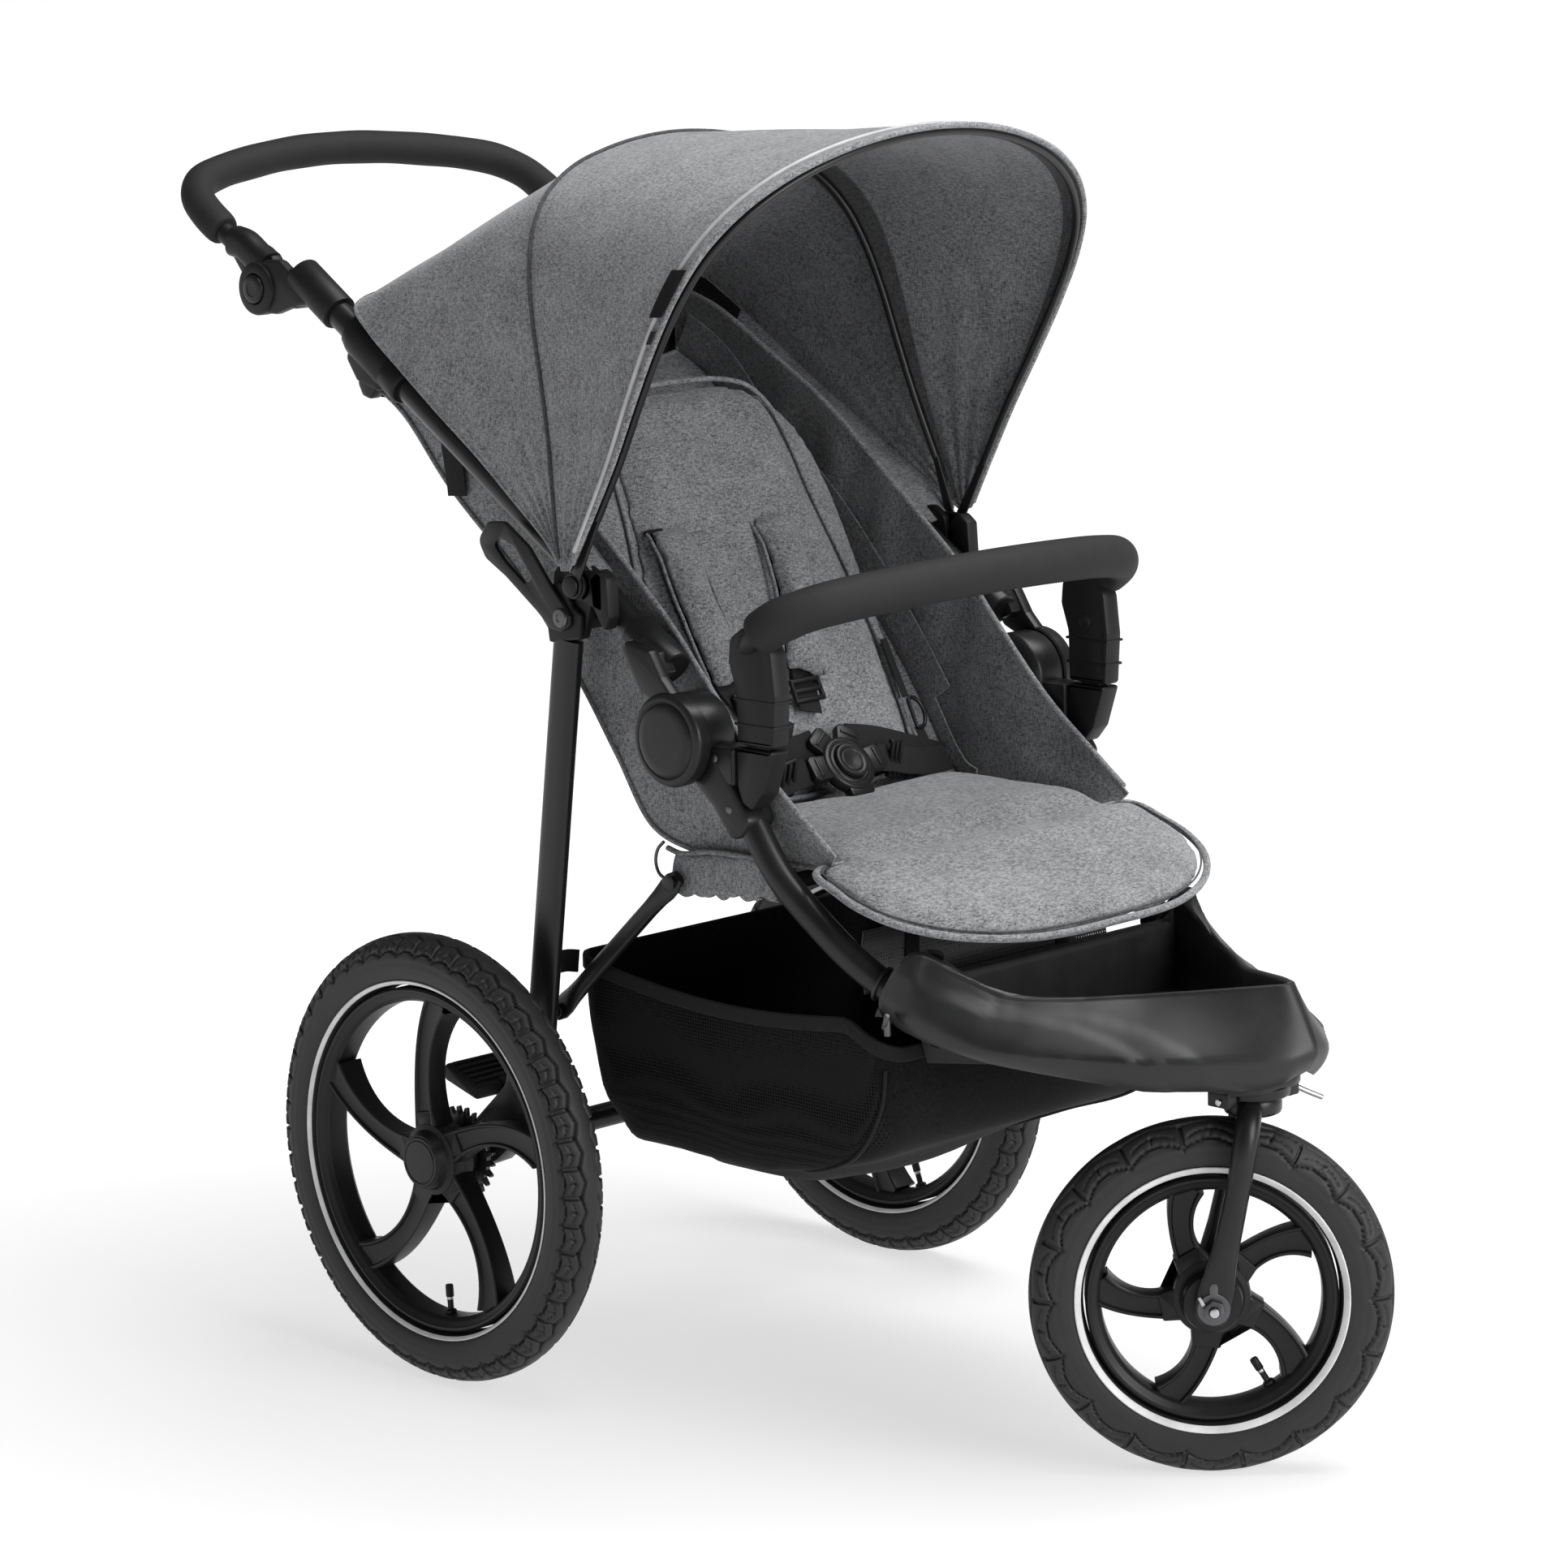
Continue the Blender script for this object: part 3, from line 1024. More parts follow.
# ------------------------------------------------------------------ bumper bar
arm_o = rounded([[-367, 595.4], [-323, 595.4], [-322, 640], [-314, 664], [-316, 684], [-330, 694], [-352, 692], [-366, 676], [-370, 640]], [3, 3, 14, 12, 10, 12, 12, 14, 16], 6)
arm = prism(arm_o, 193, 213, 4.2)
bands = []
for z0, z1 in ((612, 614.4), (633, 635.2)):
    yb = np.interp(z0, [595, 640, 664], [-367, -370, -369])
    yf = np.interp(z0, [595, 640, 664], [-323, -322, -314])
    o = rounded([(yb - 0.9, z0), (yf + 0.9, z0), (yf + 0.9, z1), (yb - 0.9, z1)], 0.6, 2)
    bands.append(prism(o, 192.3, 213.7, 0.7))
plug_ = prism(rounded([(-356, 573), (-334, 573), (-334, 597), (-356, 597)], 2, 3), 197.4, 208.6, 1)
arms = merge(arm, *bands, plug_)
path_b = [(203, -330, 676), (212, -346, 686), (209, -366, 700), (188, -386, 711), (150, -398, 717), (90, -407, 721), (0, -411, 723), (-90, -407, 721), (-150, -398, 717), (-188, -386, 711), (-209, -366, 700), (-212, -346, 686), (-203, -330, 676)]
core = tube(path_b, 10, 20, step=8)
bb = piece("bumper_bar", merge(arms, mirror(arms), core), "plastic", "bumper", "bumper_bar", 42)
sides("bumper_button", lathe([(0, 194.4), (6.6, 194.4), (6.9, 193), (6.6, 191.6), (5.6, 190.9), (0, 191.3)], (1, 0, 0), (0, -344, 650), 32, closed=False), "satin", "bumper_button", "bumper_button", 40, True)
foam_p = [(211.5, -352, 690.5), (207, -369, 701.5), (188, -386, 711), (150, -398, 717), (90, -407, 721), (0, -411, 723), (-90, -407, 721), (-150, -398, 717), (-188, -386, 711), (-207, -369, 701.5), (-211.5, -352, 690.5)]
fp = spline(foam_p, step=4)
s_ = np.linspace(0, 1, len(fp))
rs = 18.6 + 0.35 * np.sin(s_ * 61) * np.exp(-((np.minimum(s_, 1 - s_) - 0.07) / 0.05) ** 2)
rs[0], rs[-1] = 17.6, 17.6
piece("bumper_grip", sweep(fp, circle(1, 40), scale=rs, dome=2.5), "foam", "bumper", "bumper_grip", 60)
seam = fp + np.array([0, 8.0, -16.6])
piece("bumper_grip_seam", sweep(seam[6:-6], circle(0.7, 8)), "web", "bumper")

# ------------------------------------------------------------------ push frame
g = merge(sweep(np.linspace(P3(up_line(-236)), P3(up_line(236)), 24), circle(12.5, 36)),
          prism(rounded([[-150, 706], [-112, 730], [-110, 686], [-122, 674], [-142, 674], [-152, 684]], [2, 2, 8, 8, 8, 8], 4), 190, 212.5, 2),
          disc(205, 232.8, (-132, 686), 5, 28, 0.8))
sides("push_tube", g, "tube", "push_frame", "push_tube", 40)
cap_p = [(0, 217.2), (38.5, 217.2), (40, 218.8), (40, 228.5), (39.4, 230.8), (37.8, 232.4), (35.6, 233.2), (33.2, 233.2), (32.6, 232.5), (31.9, 232.4), (31.3, 233.0), (30.2, 234.6), (28, 235.6), (22, 236.0), (0, 236.0)]
g = merge(lathe(cap_p, (1, 0, 0), (0, -258, 594), 96, closed=False), disc(190, 220, (-258, 594), 6.8, 24, 0.5),
          ring3(P3(up_line(-236)), P3(up_line(-192)), 12.7, 17, 48, 1.6),
          prism(rounded([[-266, 630], [-250, 646], [-236, 668], [-206, 673], [-202, 664], [-222, 632], [-246, 622]], [4, 6, 8, 4, 4, 10, 4], 5), 217.2, 229, 3),
          prism(rounded([[-246, 647], [-236, 664], [-214, 676], [-204, 668], [-222, 648], [-232, 640]], 4, 4), 205, 221, 2))
sides("hub_cap", g, "satin", "push_frame", "hub_cap", 42)
for i, s0 in enumerate((14, 40)):
    p = np.array(on_tube(s0)) + np.array([16.2, 0, 0])
    sides(f"sleeve_rivet_{i}", rivet(tuple(p + [0.3, 0, 0]), (1, 0, 0), 3.4, 1.2), "darksteel", "push_frame")
a_, b_ = np.array(P3(up_line(96))), np.array(P3(up_line(166)))
L_ = np.linalg.norm(b_ - a_)
cp = [(12.7, 0), (16.8, 0), (18.2, 1.4), (18.6, 4), (18.6, 22), (17.9, 23), (17.9, 25), (18.6, 26), (18.6, L_ - 12), (18.0, L_ - 8), (16.4, L_ - 3), (15.6, L_), (12.7, L_)]
col = merge(lathe(cp, tuple(b_ - a_), tuple(a_), 56), prism(rounded([[116, 876], [162, 905], [170, 888], [156, 868], [128, 860]], [4, 4, 8, 8, 6], 5), 189, 211, 4))
sides("collar", col, "plastic", "push_frame", "collar", 42)
trg = merge(prism(rounded([[137, 874], [146, 880], [154, 876], [159, 866], [153, 855], [143, 852], [134, 862]], 5, 5), 192.8, 207.2, 3))
sides("fold_trigger", trg, "satin", "fold_trigger", "fold_trigger", 42, True)
HJ = (286.0, 944.0)
sl = ring3(P3(up_line(188)), P3(up_line(238)), 12.7, 16.8, 48, 1.2)
boss = lathe([(5.6, 203.8), (22, 203.8), (24, 205.4), (24, 214.6), (23.2, 216.8), (21.4, 218), (14.4, 218), (13.8, 217.2), (13.8, 211.6), (5.6, 211.6)], (1, 0, 0), (0, *HJ), 72)
web_ = prism(rounded([[212, 933], [234, 958], [254, 971], [280, 970], [288, 950], [286, 922], [262, 922], [236, 930]], [6, 8, 8, 8, 6, 8, 10, 8], 5), 203.8, 214.2, 3)
plg = prism(rounded([[206, 942], [236, 964], [249, 964], [253, 944], [262, 928], [236, 928]], [5, 6, 5, 4, 3, 6], 5), 187, 213.6, 4)
sides("handle_joint", merge(sl, boss, web_, plg), "plastic", "push_frame", "handle_joint", 42)
sides("handle_button", lathe([(0, 215), (13, 215), (13, 219.2), (12.2, 220.6), (10.4, 221.2), (7, 221.4), (6.4, 220.8), (0, 220.6)], (1, 0, 0), (0, *HJ), 48, closed=False), "satin", "handle_button", "handle_button", 42, True)

# handle
a33 = 33 * D2R
hp = lambda x, r: (x, 290 + r * math.cos(a33), 957 + r * math.sin(a33))
hpts = [(201, 42), (203, 66), (203, 92), (198, 116), (180, 138), (150, 152), (104, 164), (52, 173), (0, 176)]
full = [hp(x, r) for x, r in hpts] + [hp(-x, r) for x, r in hpts[-2::-1]]
kn = lathe([(0, 190), (21, 190), (23, 192), (23.4, 194), (23.4, 201.5), (22.6, 203.3), (0, 203.3)], (1, 0, 0), (0, *HJ), 64, closed=False)
nk = prism(rounded([[270, 958], [277, 972], [290, 980], [318, 990], [338, 974], [318, 950], [303, 940], [290, 960]], [5, 8, 8, 6, 6, 10, 6, 6], 5), 190, 203.3, 3)
ar = loft_path(spline([(200, 284, 963), (200.5, 300, 971), (201, 316, 981), (201, 331, 984.2)], step=3), [12, 13.4, 14.2, 14.4, 14.4, 14.4] if False else 14.0, 12.2, (0, -0.5, 0.85), 36, 2.6)
kn_all = merge(kn, nk, ar)
core = tube(full, 9.5, 18, step=8)
piece("handle_bar", merge(kn_all, mirror(kn_all), core), "plastic", "handle", "handle_bar", 42)
gp = spline([hp(x, r) for x, r in hpts[1:]] + [hp(-x, r) for x, r in hpts[-2:0:-1]], step=4)
s_ = np.linspace(0, 1, len(gp))
rs = 15.6 + 0.2 * np.sin(s_ * 47)
rs[0], rs[1], rs[-1], rs[-2] = 14.2, 15.4, 14.2, 15.4
piece("handle_grip", sweep(gp, circle(1, 40), scale=rs, dome=1.5), "foam", "handle", "handle_grip", 60)
piece("handle_grip_seam", sweep(gp[6:-6] + np.array([0, 6.2, -14.1]), circle(0.7, 8)), "web", "handle")

# canopy clips
cm_ = merge(prism(rounded([[-186, 690], [-180, 676], [-164, 699], [-162, 722], [-172, 731], [-184, 722]], [4, 4, 6, 6, 6, 5], 4), 213, 227, 2.5),
            disc(222, 227, (-150, 715), 14, 48, 1.2), prism(rounded([[-178, 694], [-152, 701], [-152, 729], [-178, 727]], 3, 3), 222, 227, 1.2),
            disc(224, 238.4, (-150, 715), 4.9, 24, 0.5), lathe([(0, 236.9), (8.6, 236.9), (9, 237.4), (8.8, 238.6), (7, 239.4), (0, 239.6)], (1, 0, 0), (0, -150, 715), 32, closed=False))
sides("canopy_clip", cm_, "plastic", "push_frame", "canopy_mount", 42)

# ------------------------------------------------------------------ rear legs
top = np.array([-127.0, 660.0])
d_ = np.array([-79.0, 330.0]) - top
d_ /= np.linalg.norm(d_)
botm = top + d_ * 408
leg_p = np.linspace((221, *(top - d_ * 6)), (221, *botm), 14)
g = loft_path(leg_p, 7.0, 16.0, (1, 0, 0), 40, 2.7)
sides("rear_leg", g, "tube", "rear_legs", "rear_leg", 40)
hd = merge(prism(rounded([[-148, 668], [-111, 662.6], [-107, 690], [-111, 722], [-122, 733], [-140, 735], [-154, 725], [-159, 700]], [3, 3, 10, 10, 8, 9, 10, 12], 6), 214, 221.8, 2.0),
           prism(rounded([[-150, 668], [-110, 662], [-106, 690], [-111, 712], [-130, 717], [-140, 696], [-151, 690]], [3, 3, 8, 8, 10, 10, 6], 6), 221, 228, 2.2))
sides("leg_head", hd, "plastic", "rear_legs", "leg_head", 42)
bx0, bz0 = botm
foot = prism(rounded([[bx0 - 21, bz0 + 52], [bx0 + 19, bz0 + 58], [bx0 + 30, bz0 + 8], [15, 216], [17, 190], [0, 181], [-22, 190], [bx0 - 22, bz0 - 12]], [5, 5, 16, 10, 10, 10, 12, 14], 6), 209, 233, 4)
ax_ = merge(rod3((-240, 0, 200), (240, 0, 200), 11, 36), rod3((-299.6, 0, 200), (299.6, 0, 200), 5.4, 24), foot, mirror(foot),
            ring3((205, 0, 200), (240.5, 0, 200), 10.8, 15, 40, 1.5), ring3((-205, 0, 200), (-240.5, 0, 200), 10.8, 15, 40, 1.5))
piece("rear_axle", ax_, "tube", "rear_legs", "rear_axle", 42)
for i, s0 in enumerate((388,)):
    p = top + d_ * s0
    sides(f"leg_rivet_{i}", rivet((233.0, p[0], p[1]), (1, 0, 0), 4, 1.4), "darksteel", "rear_legs")
pv = merge(lathe([(0, 228.2), (9.5, 228.2), (9.5, 231), (8.8, 232), (0, 232)], (1, 0, 0), (0, -132, 686), 40, closed=False))
# struts
a_, b_ = np.array([-226.0, 464.0]), np.array([-76.0, 330.0])
u_ = (b_ - a_) / np.linalg.norm(b_ - a_)
L_ = np.linalg.norm(b_ - a_)
sp_ = [(197.5, *(a_ + u_ * s)) for s in (-8, 2, 12, 24, 40, L_ / 2, L_ - 40, L_ - 24, L_ - 12, L_ - 2, L_ + 8)]
st = loft_path(sp_, [3.2, 3.6, 4.2, 6.5, 7.5, 7.5, 7.5, 6.5, 4.2, 3.6, 3.2], [6, 10, 10.2, 8.4, 7.5, 7.5, 7.5, 8.4, 10.2, 10, 6], (1, 0, 0), 32, 2.1)
st = merge(st, disc(190.6, 204.4, (-226, 464), 5.5, 28, 0.8), disc(190.6, 204.4, (-76, 330), 5.5, 28, 0.8), rivet((204.2, -226, 464), (1, 0, 0), 7, 1.2), rivet((204.2, -76, 330), (1, 0, 0), 7, 1.2))
sides("strut", st, "tube", "struts", "strut", 40)

# brake pedal and the catch
o1 = rounded([[-14, 212], [-8, 222], [20, 236], [74, 252], [80, 246], [74, 238], [24, 214], [16, 196], [8, 187], [-10, 190]], [5, 5, 14, 4, 3, 4, 14, 6, 8, 8], 5)
o2 = rounded([[40, 240], [84, 256], [92, 250], [86, 240], [44, 228]], [4, 4, 5, 5, 3], 5)
bpd = merge(prism(o1, -168, -140, 2.5), prism(o2, -196, -112, 3))
ribs = [prism(rounded([(u0, -192), (u0 + 3, -192), (u0 + 3, -116), (u0, -116)], 1, 2), 0, 1, 0.3, lambda u, v, w: np.c_[v, 44 + u * 0.93, 242.4 + u * 0.345 + w * 1.2]) for u0 in (4, 12, 20, 28, 36)]
piece("brake_pedal", merge(bpd, *ribs), "plastic", "brake_pedal", "brake_pedal", 42)
ct = mk("catch", *prism(rounded([[-142, 688], [-134, 698], [-120, 712], [-92, 744], [-62, 763], [-40, 761], [-27, 744], [-36, 729], [-62, 715], [-100, 689], [-118, 675], [-132, 674], [-142, 680]], [4, 8, 14, 14, 12, 10, 10, 12, 14, 12, 8, 6, 4], 5), -232.6, -228.4, 1.1), M["satin"])
slot_o = rounded([[-97, 716], [-75, 742], [-56, 749], [-47, 742], [-60, 729], [-86, 711]], [5, 7, 5, 5, 7, 5], 5)
t1 = mk("t1", *prism(slot_o, -240, -220, 0.01), M["satin"])
cut(ct, t1, angle=35)
bevel(ct, 0.5, 2, 40, 38)
ct.name = "transport_catch"
piece("transport_catch", ct, "satin", "transport_catch", "transport_catch")
piece("catch_pivot", lathe([(0, 232.7), (8.6, 232.7), (8.6, 234.2), (7.4, 235.6), (3.4, 236.0), (3.0, 235.2), (0, 235.2)], (-1, 0, 0), (0, -132, 686), 32, closed=False), "darksteel", "transport_catch")
piece("leg_pivot_cover_left", lathe([(0, 228.2), (8.6, 228.2), (8.6, 231.8), (7.6, 233.2), (0, 233.2)], (1, 0, 0), (0, -132, 686), 32, closed=False), "darksteel", "rear_legs")

# ------------------------------------------------------------------ front fork
cF, sF = math.cos(TH), math.sin(TH)


def fork_to(v):
    v = np.asarray(v, float).reshape(-1, 3)
    return np.c_[cF * v[:, 0] - sF * v[:, 1], SW + sF * v[:, 0] + cF * v[:, 1], v[:, 2]]


def blade(s):
    p = spline([(s * 6, 2, 312), (s * 22, 4, 309), (s * 33, 6, 300), (s * 39.5, 9, 282), (s * 41, 14, 252), (s * 41, 22.5, 210), (s * 41, 30, 176), (s * 41, 35, 152), (s * 41, 37, 136)], step=4)
    z = p[:, 2]
    A = np.interp(z, [136, 152, 168, 186, 230, 290, 312], [3.2, 3.6, 4.4, 7.6, 9.6, 10.4, 10.4])
    B = np.interp(z, [136, 140, 150, 165, 180, 200, 240, 290, 312], [9, 13.0, 15.0, 14.2, 12.4, 10.8, 10.0, 10.4, 10.4])
    return loft_path(p, A, B, (s, 0, 0) if False else (1, 0.02, 0.05), 36, 2.2)


fb = [blade(1), blade(-1)]
fb.append(lathe([(0, 303), (20, 303), (23, 304.5), (24, 307), (24, 314), (22.5, 317.2), (13.2, 317.6), (11, 317.6), (11, 328), (0, 328)], (0, 0, 1), (0, 0, 0), 56, closed=False))
fb.append(rod3((-57, 35, 150), (57, 35, 150), 4.8, 24, 1.0))
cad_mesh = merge(*fb)
piece("front_fork", (fork_to(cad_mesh[0]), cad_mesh[1]), "tube", "fork", "front_fork", 42)
for s, nm in ((1, "left"), (-1, "right")):
    hexo = [(9.4 * math.cos(k * math.pi / 3 + 0.3), 9.4 * math.sin(k * math.pi / 3 + 0.3)) for k in range(6)]
    to3 = lambda u, v, w: np.c_[w, 35 + u, 150 + v]
    nut = prism(rounded(hexo, 0.6, 2), s * 46.8, s * 53, 0.9, to3)
    wsh = lathe([(5, 0), (13, 0), (13.4, 0.4), (13.4, 1.5), (13, 1.9), (5, 1.9)], (s, 0, 0), (s * 44.9, 35, 150), 40)
    tab = prism(rounded([(-3.4, 10), (3.4, 10), (3.4, 19), (1.4, 22), (-1.4, 22), (-3.4, 19)], 1.2, 3), s * 45.0, s * 46.6, 0.3, to3)
    hook = prism(rounded([(6, 3), (10, 4), (13.4, 11), (11.4, 12.2), (7.6, 6)], 0.8, 3), s * 46.6, s * 50, 0.4, to3)
    nb = merge(nut, wsh, tab)
    piece(f"axle_nut_{nm}", (fork_to(nb[0]), nb[1]), "darksteel", "fork", (), 30)
    eb = merge(hook, rod3((s * 53, 35, 150), (s * 57.6, 35, 150), 4.0, 24, 0.8))
    piece(f"axle_end_{nm}", (fork_to(eb[0]), eb[1]), "steel", "fork", (), 30)


# ------------------------------------------------------------------ soft goods
rng = np.random.default_rng(7)


def wob(x, y, k=1.0, seed=0):
    """Smooth repeatable unevenness for cloth."""
    r = np.random.default_rng(seed)
    out = 0
    for i in range(5):
        a, b, c, d = r.uniform(-1, 1, 4)
        out = out + np.sin(x * (0.6 + i * 0.8) * k * a * 2 + y * (0.6 + i * 0.8) * k * b * 2 + c * 6) / (1 + i * 0.7)
    return out / 2.2


def sheet_of(ob):
    """Declares a sheet cut to the size that its own mesh measures along its middle lines."""
    w, l, area_ = ob["cut_w"], ob["cut_l"], ob["cut_a"]
    k = max(1.0, area_ / (w * l) * 1.002)
    k = max(k, 1.0)


def measure(G):
    G = np.asarray(G) * 0.001
    a = np.linalg.norm(np.diff(G, axis=0), axis=2).sum(0).max()
    b = np.linalg.norm(np.diff(G, axis=1), axis=2).sum(1).max()
    d1 = G[1:, 1:] - G[:-1, :-1]
    d2 = G[1:, :-1] - G[:-1, 1:]
    return float(a), float(b), float(np.linalg.norm(np.cross(d1, d2), axis=2).sum() / 2)


def make_sheet(name, G, t, mat, bodyspec, repl=(), angle=60, declare=True, mats=None):
    ob = cloth(name, G, t, mats or M[mat], angle)
    a, b, c = measure(G)
    ob["cut_w"], ob["cut_l"], ob["cut_a"] = a, b, c
    if isinstance(bodyspec, str):
        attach(ob, bodyspec)
    else:
        tuple(V3(bodyspec[2])[0])
        tuple(V3(bodyspec[3])[0])
        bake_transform(ob)
    if repl:
        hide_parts(*([repl] if isinstance(repl, str) else repl))
    if declare:
        sheet_of(ob)
    return ob


def grid_normals(G):
    N = np.cross(np.gradient(G, axis=0), np.gradient(G, axis=1))
    return N / np.maximum(np.linalg.norm(N, axis=2)[:, :, None], 1e-9)


def ribbon(path, side, w, t=1.4, dome=0):
    """Flat strap along the path, w wide along `side`."""
    p = np.asarray(path, float)
    return sweep(p, rrect(w, t, min(0.6, t * 0.45), 3), up=side)


def pad_mesh(outline, to3, top, bot, n_r=12, p=3.2, crown=0.0, mid=None):
    o = np.asarray(outline, float)
    c = np.array([(o[:, 0].max() + o[:, 0].min()) / 2, (o[:, 1].max() + o[:, 1].min()) / 2])
    mid = (top + bot) / 2 if mid is None else mid
    rows = []
    ks = [math.sin((i + 0.6) / (n_r + 0.6) * math.pi / 2) for i in range(n_r)] + [1.0]
    for k in ks:
        q = c + (o - c) * k
        h = mid + (top - mid) * max(0.0, 1 - k ** p) ** (1 / p) + crown * (1 - k * k)
        rows.append(to3(q[:, 0], q[:, 1], np.full(len(q), h)))
    for k in ks[-2::-1]:
        q = c + (o - c) * k
        h = mid + (bot - mid) * max(0.0, 1 - k ** p) ** (1 / p)
        rows.append(to3(q[:, 0], q[:, 1], np.full(len(q), h)))
    m = len(o)
    F = grid_faces(len(rows), m, wrap=True)
    F.append(tuple(range(m))[::-1])
    F.append(tuple((len(rows) - 1) * m + j for j in range(m)))
    return np.vstack(rows), F


def puff(ob, cap, pressure=4.0, voxel=5.0, n=20, keep=None):
    """Blows the closed pad up as cloth, moving no point further than cap (mm)."""
    m = ob.modifiers.new("r", "REMESH")
    m.mode = "VOXEL"
    m.voxel_size = voxel * 0.001
    bake(ob, 180)
    me = ob.data
    base = np.empty(len(me.vertices) * 3)
    me.vertices.foreach_get("co", base)
    base = base.reshape(-1, 3)
    c = ob.modifiers.new("c", "CLOTH")
    s = c.settings
    s.quality = 5
    s.mass = 0.3
    s.tension_stiffness = s.compression_stiffness = 12
    s.shear_stiffness = 5
    s.bending_stiffness = 0.8
    s.use_pressure = True
    s.uniform_pressure_force = pressure
    s.effector_weights.gravity = 0
    c.point_cache.frame_start, c.point_cache.frame_end = 1, n
    for f in range(1, n + 1):
        scene.frame_set(f)
    dg = bpy.context.evaluated_depsgraph_get()
    ev = ob.evaluated_get(dg)
    em = ev.to_mesh()
    new = np.empty(len(em.vertices) * 3)
    em.vertices.foreach_get("co", new)
    new = new.reshape(-1, 3)
    ev.to_mesh_clear()
    ob.modifiers.clear()
    scene.frame_set(1)
    d = new - base
    L = np.linalg.norm(d, axis=1)
    d *= np.minimum(1, cap * 0.001 / np.maximum(L, 1e-9))[:, None]
    new = base + d
    if keep is not None:
        new = keep(new)
    me.vertices.foreach_set("co", new.ravel())
    me.update()
    return subsurf(ob, 1, 180)


# ---------------------------------- canopy
CH = (-150.0, 715.0)


def bow_pt(alpha, x, r):
    return (x, CH[0] + r * math.cos(alpha * D2R), CH[1] + r * math.sin(alpha * D2R))


F_OUT = [(246, 18), (244, 70), (243, 130), (246, 190), (247, 245), (243, 292), (230, 334), (204, 370), (164, 400), (112, 422), (56, 435), (0, 439)]
M_OUT = [(244, 14), (236, 66), (226, 122), (219, 178), (214, 226), (206, 268), (192, 304), (168, 334), (132, 356), (90, 369), (46, 377), (0, 380)]
HEM = [(241, -146, 729), (234, -116, 752), (228, -70, 782), (224, -20, 816), (221, 34, 850), (219, 84, 884), (216, 126, 912), (206, 158, 934), (164, 170, 944), (112, 174, 950), (56, 176, 955), (0, 176, 957)]


def mirror_pts(p):
    return p + [(-q[0], *q[1:]) for q in p[-2::-1]]


fr = spline(mirror_pts([bow_pt(120, x, r) for x, r in F_OUT]), n=181)
mr = spline(mirror_pts([bow_pt(74, x, r) for x, r in M_OUT]), n=181)
hr = spline(mirror_pts(HEM), n=181)


def between(a, b, t, bulge):
    m = a + (b - a) * t
    j = np.arange(len(a)) / (len(a) - 1)
    w = math.sin(math.pi * t) * bulge * np.minimum(1, np.sin(math.pi * j) * 1.4)
    d = np.c_[m[:, 0] * 0.6, m[:, 1] - CH[0], m[:, 2] - CH[1]]
    d /= np.linalg.norm(d, axis=1)[:, None]
    return m + w[:, None] * d


tf = np.r_[0, 0.012, 0.03, np.linspace(0.055, 1, 34)]
Gf = np.array([between(fr, mr, 0.004 + t * 0.992, -1.5) for t in tf])
tr_ = np.r_[np.linspace(0, 1, 38)]
Gr = np.array([between(mr, hr, 0.004 + t * 0.996, 1.5) for t in tr_])
# slack and puckers
for G, sd in ((Gf, 3), (Gr, 5)):
    n, m, _ = G.shape
    I, J = np.meshgrid(np.linspace(0, 1, n), np.linspace(0, 1, m), indexing="ij")
    N = grid_normals(G)
    amp = 1.1 * np.sin(np.pi * I) * np.minimum(1, np.sin(np.pi * J) * 2.5)
    # gathers running up from the hinges
    foot = np.exp(-np.minimum(J, 1 - J) / 0.09)
    G += N * (amp * wob(I * 5, J * 14, 1.0, sd))[:, :, None]
    G += N * (2.2 * foot * np.sin(I * np.pi * 9) * np.sin(np.pi * I) ** 0.5 * np.minimum(1, np.minimum(J, 1 - J) * 60))[:, :, None]


def skin_dir(G):
    c = np.array([0, CH[0] + 40, CH[1] + 90])
    d = G - c
    return d / np.linalg.norm(d, axis=2)[:, :, None]


def outward(G):
    N = grid_normals(G)
    s = np.sign((N * skin_dir(G)).sum(2).mean())
    return N * s, s


def canopy_panel(name, G, t, bodyspec, repl):
    N, s = outward(G)
    Gx = G if s > 0 else G[:, ::-1]
    ob = cloth(name, Gx, t, [M["fabric"], M["lining"]], 60)
    n, m, _ = Gx.shape
    for p in ob.data.polygons:
        if p.index >= (n - 1) * (m - 1) and p.index < 2 * (n - 1) * (m - 1):
            p.material_index = 1
    a, b, c = measure(Gx)
    ob["cut_w"], ob["cut_l"], ob["cut_a"] = a, b, c
    tuple(V3(bodyspec[2])[0])
    tuple(V3(bodyspec[3])[0])
    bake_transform(ob)
    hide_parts(repl)
    return ob


mA, fA, hA = mr[90], fr[90], hr[90]
c1 = canopy_panel("canopy_front_panel", Gf, 2.2, ("canopy_mid", "canopy_front", mA, fA), "canopy_front_fabric")
c2 = canopy_panel("canopy_rear_panel", Gr, 2.2, ("push_frame", "canopy_mid", hA, mA), "canopy_rear_fabric")
Nf, _ = outward(Gf)
Nr, _ = outward(Gr)
piping_c = piece("canopy_mid_piping", sweep(mr[2:-2] + Nr[0][2:-2] * 1.0, circle(1.9, 12), dome=1.5), "piping", "canopy_mid", angle=60)
edge_f = piece("canopy_front_hem", sweep(Gf[0][1:-1] - Nf[0][1:-1] * 1.2, circle(2.6, 12), dome=1.5), "fabric", "canopy_front", angle=60)
row_p = Gf[3][3:-3] + Nf[3][3:-3] * 0.6
piece("canopy_reflective_piping", sweep(row_p, rrect(4.2, 2.2, 1.0, 3), up=Nf[3][3:-3]) if False else sweep(row_p, circle(2.2, 12), dome=1.5), "reflect", "canopy_front", angle=60)
piece("canopy_rear_hem", sweep(Gr[-1][1:-1] - Nr[-1][1:-1] * 1.0, circle(2.4, 12), dome=1.5), "fabric", "push_frame", angle=60)
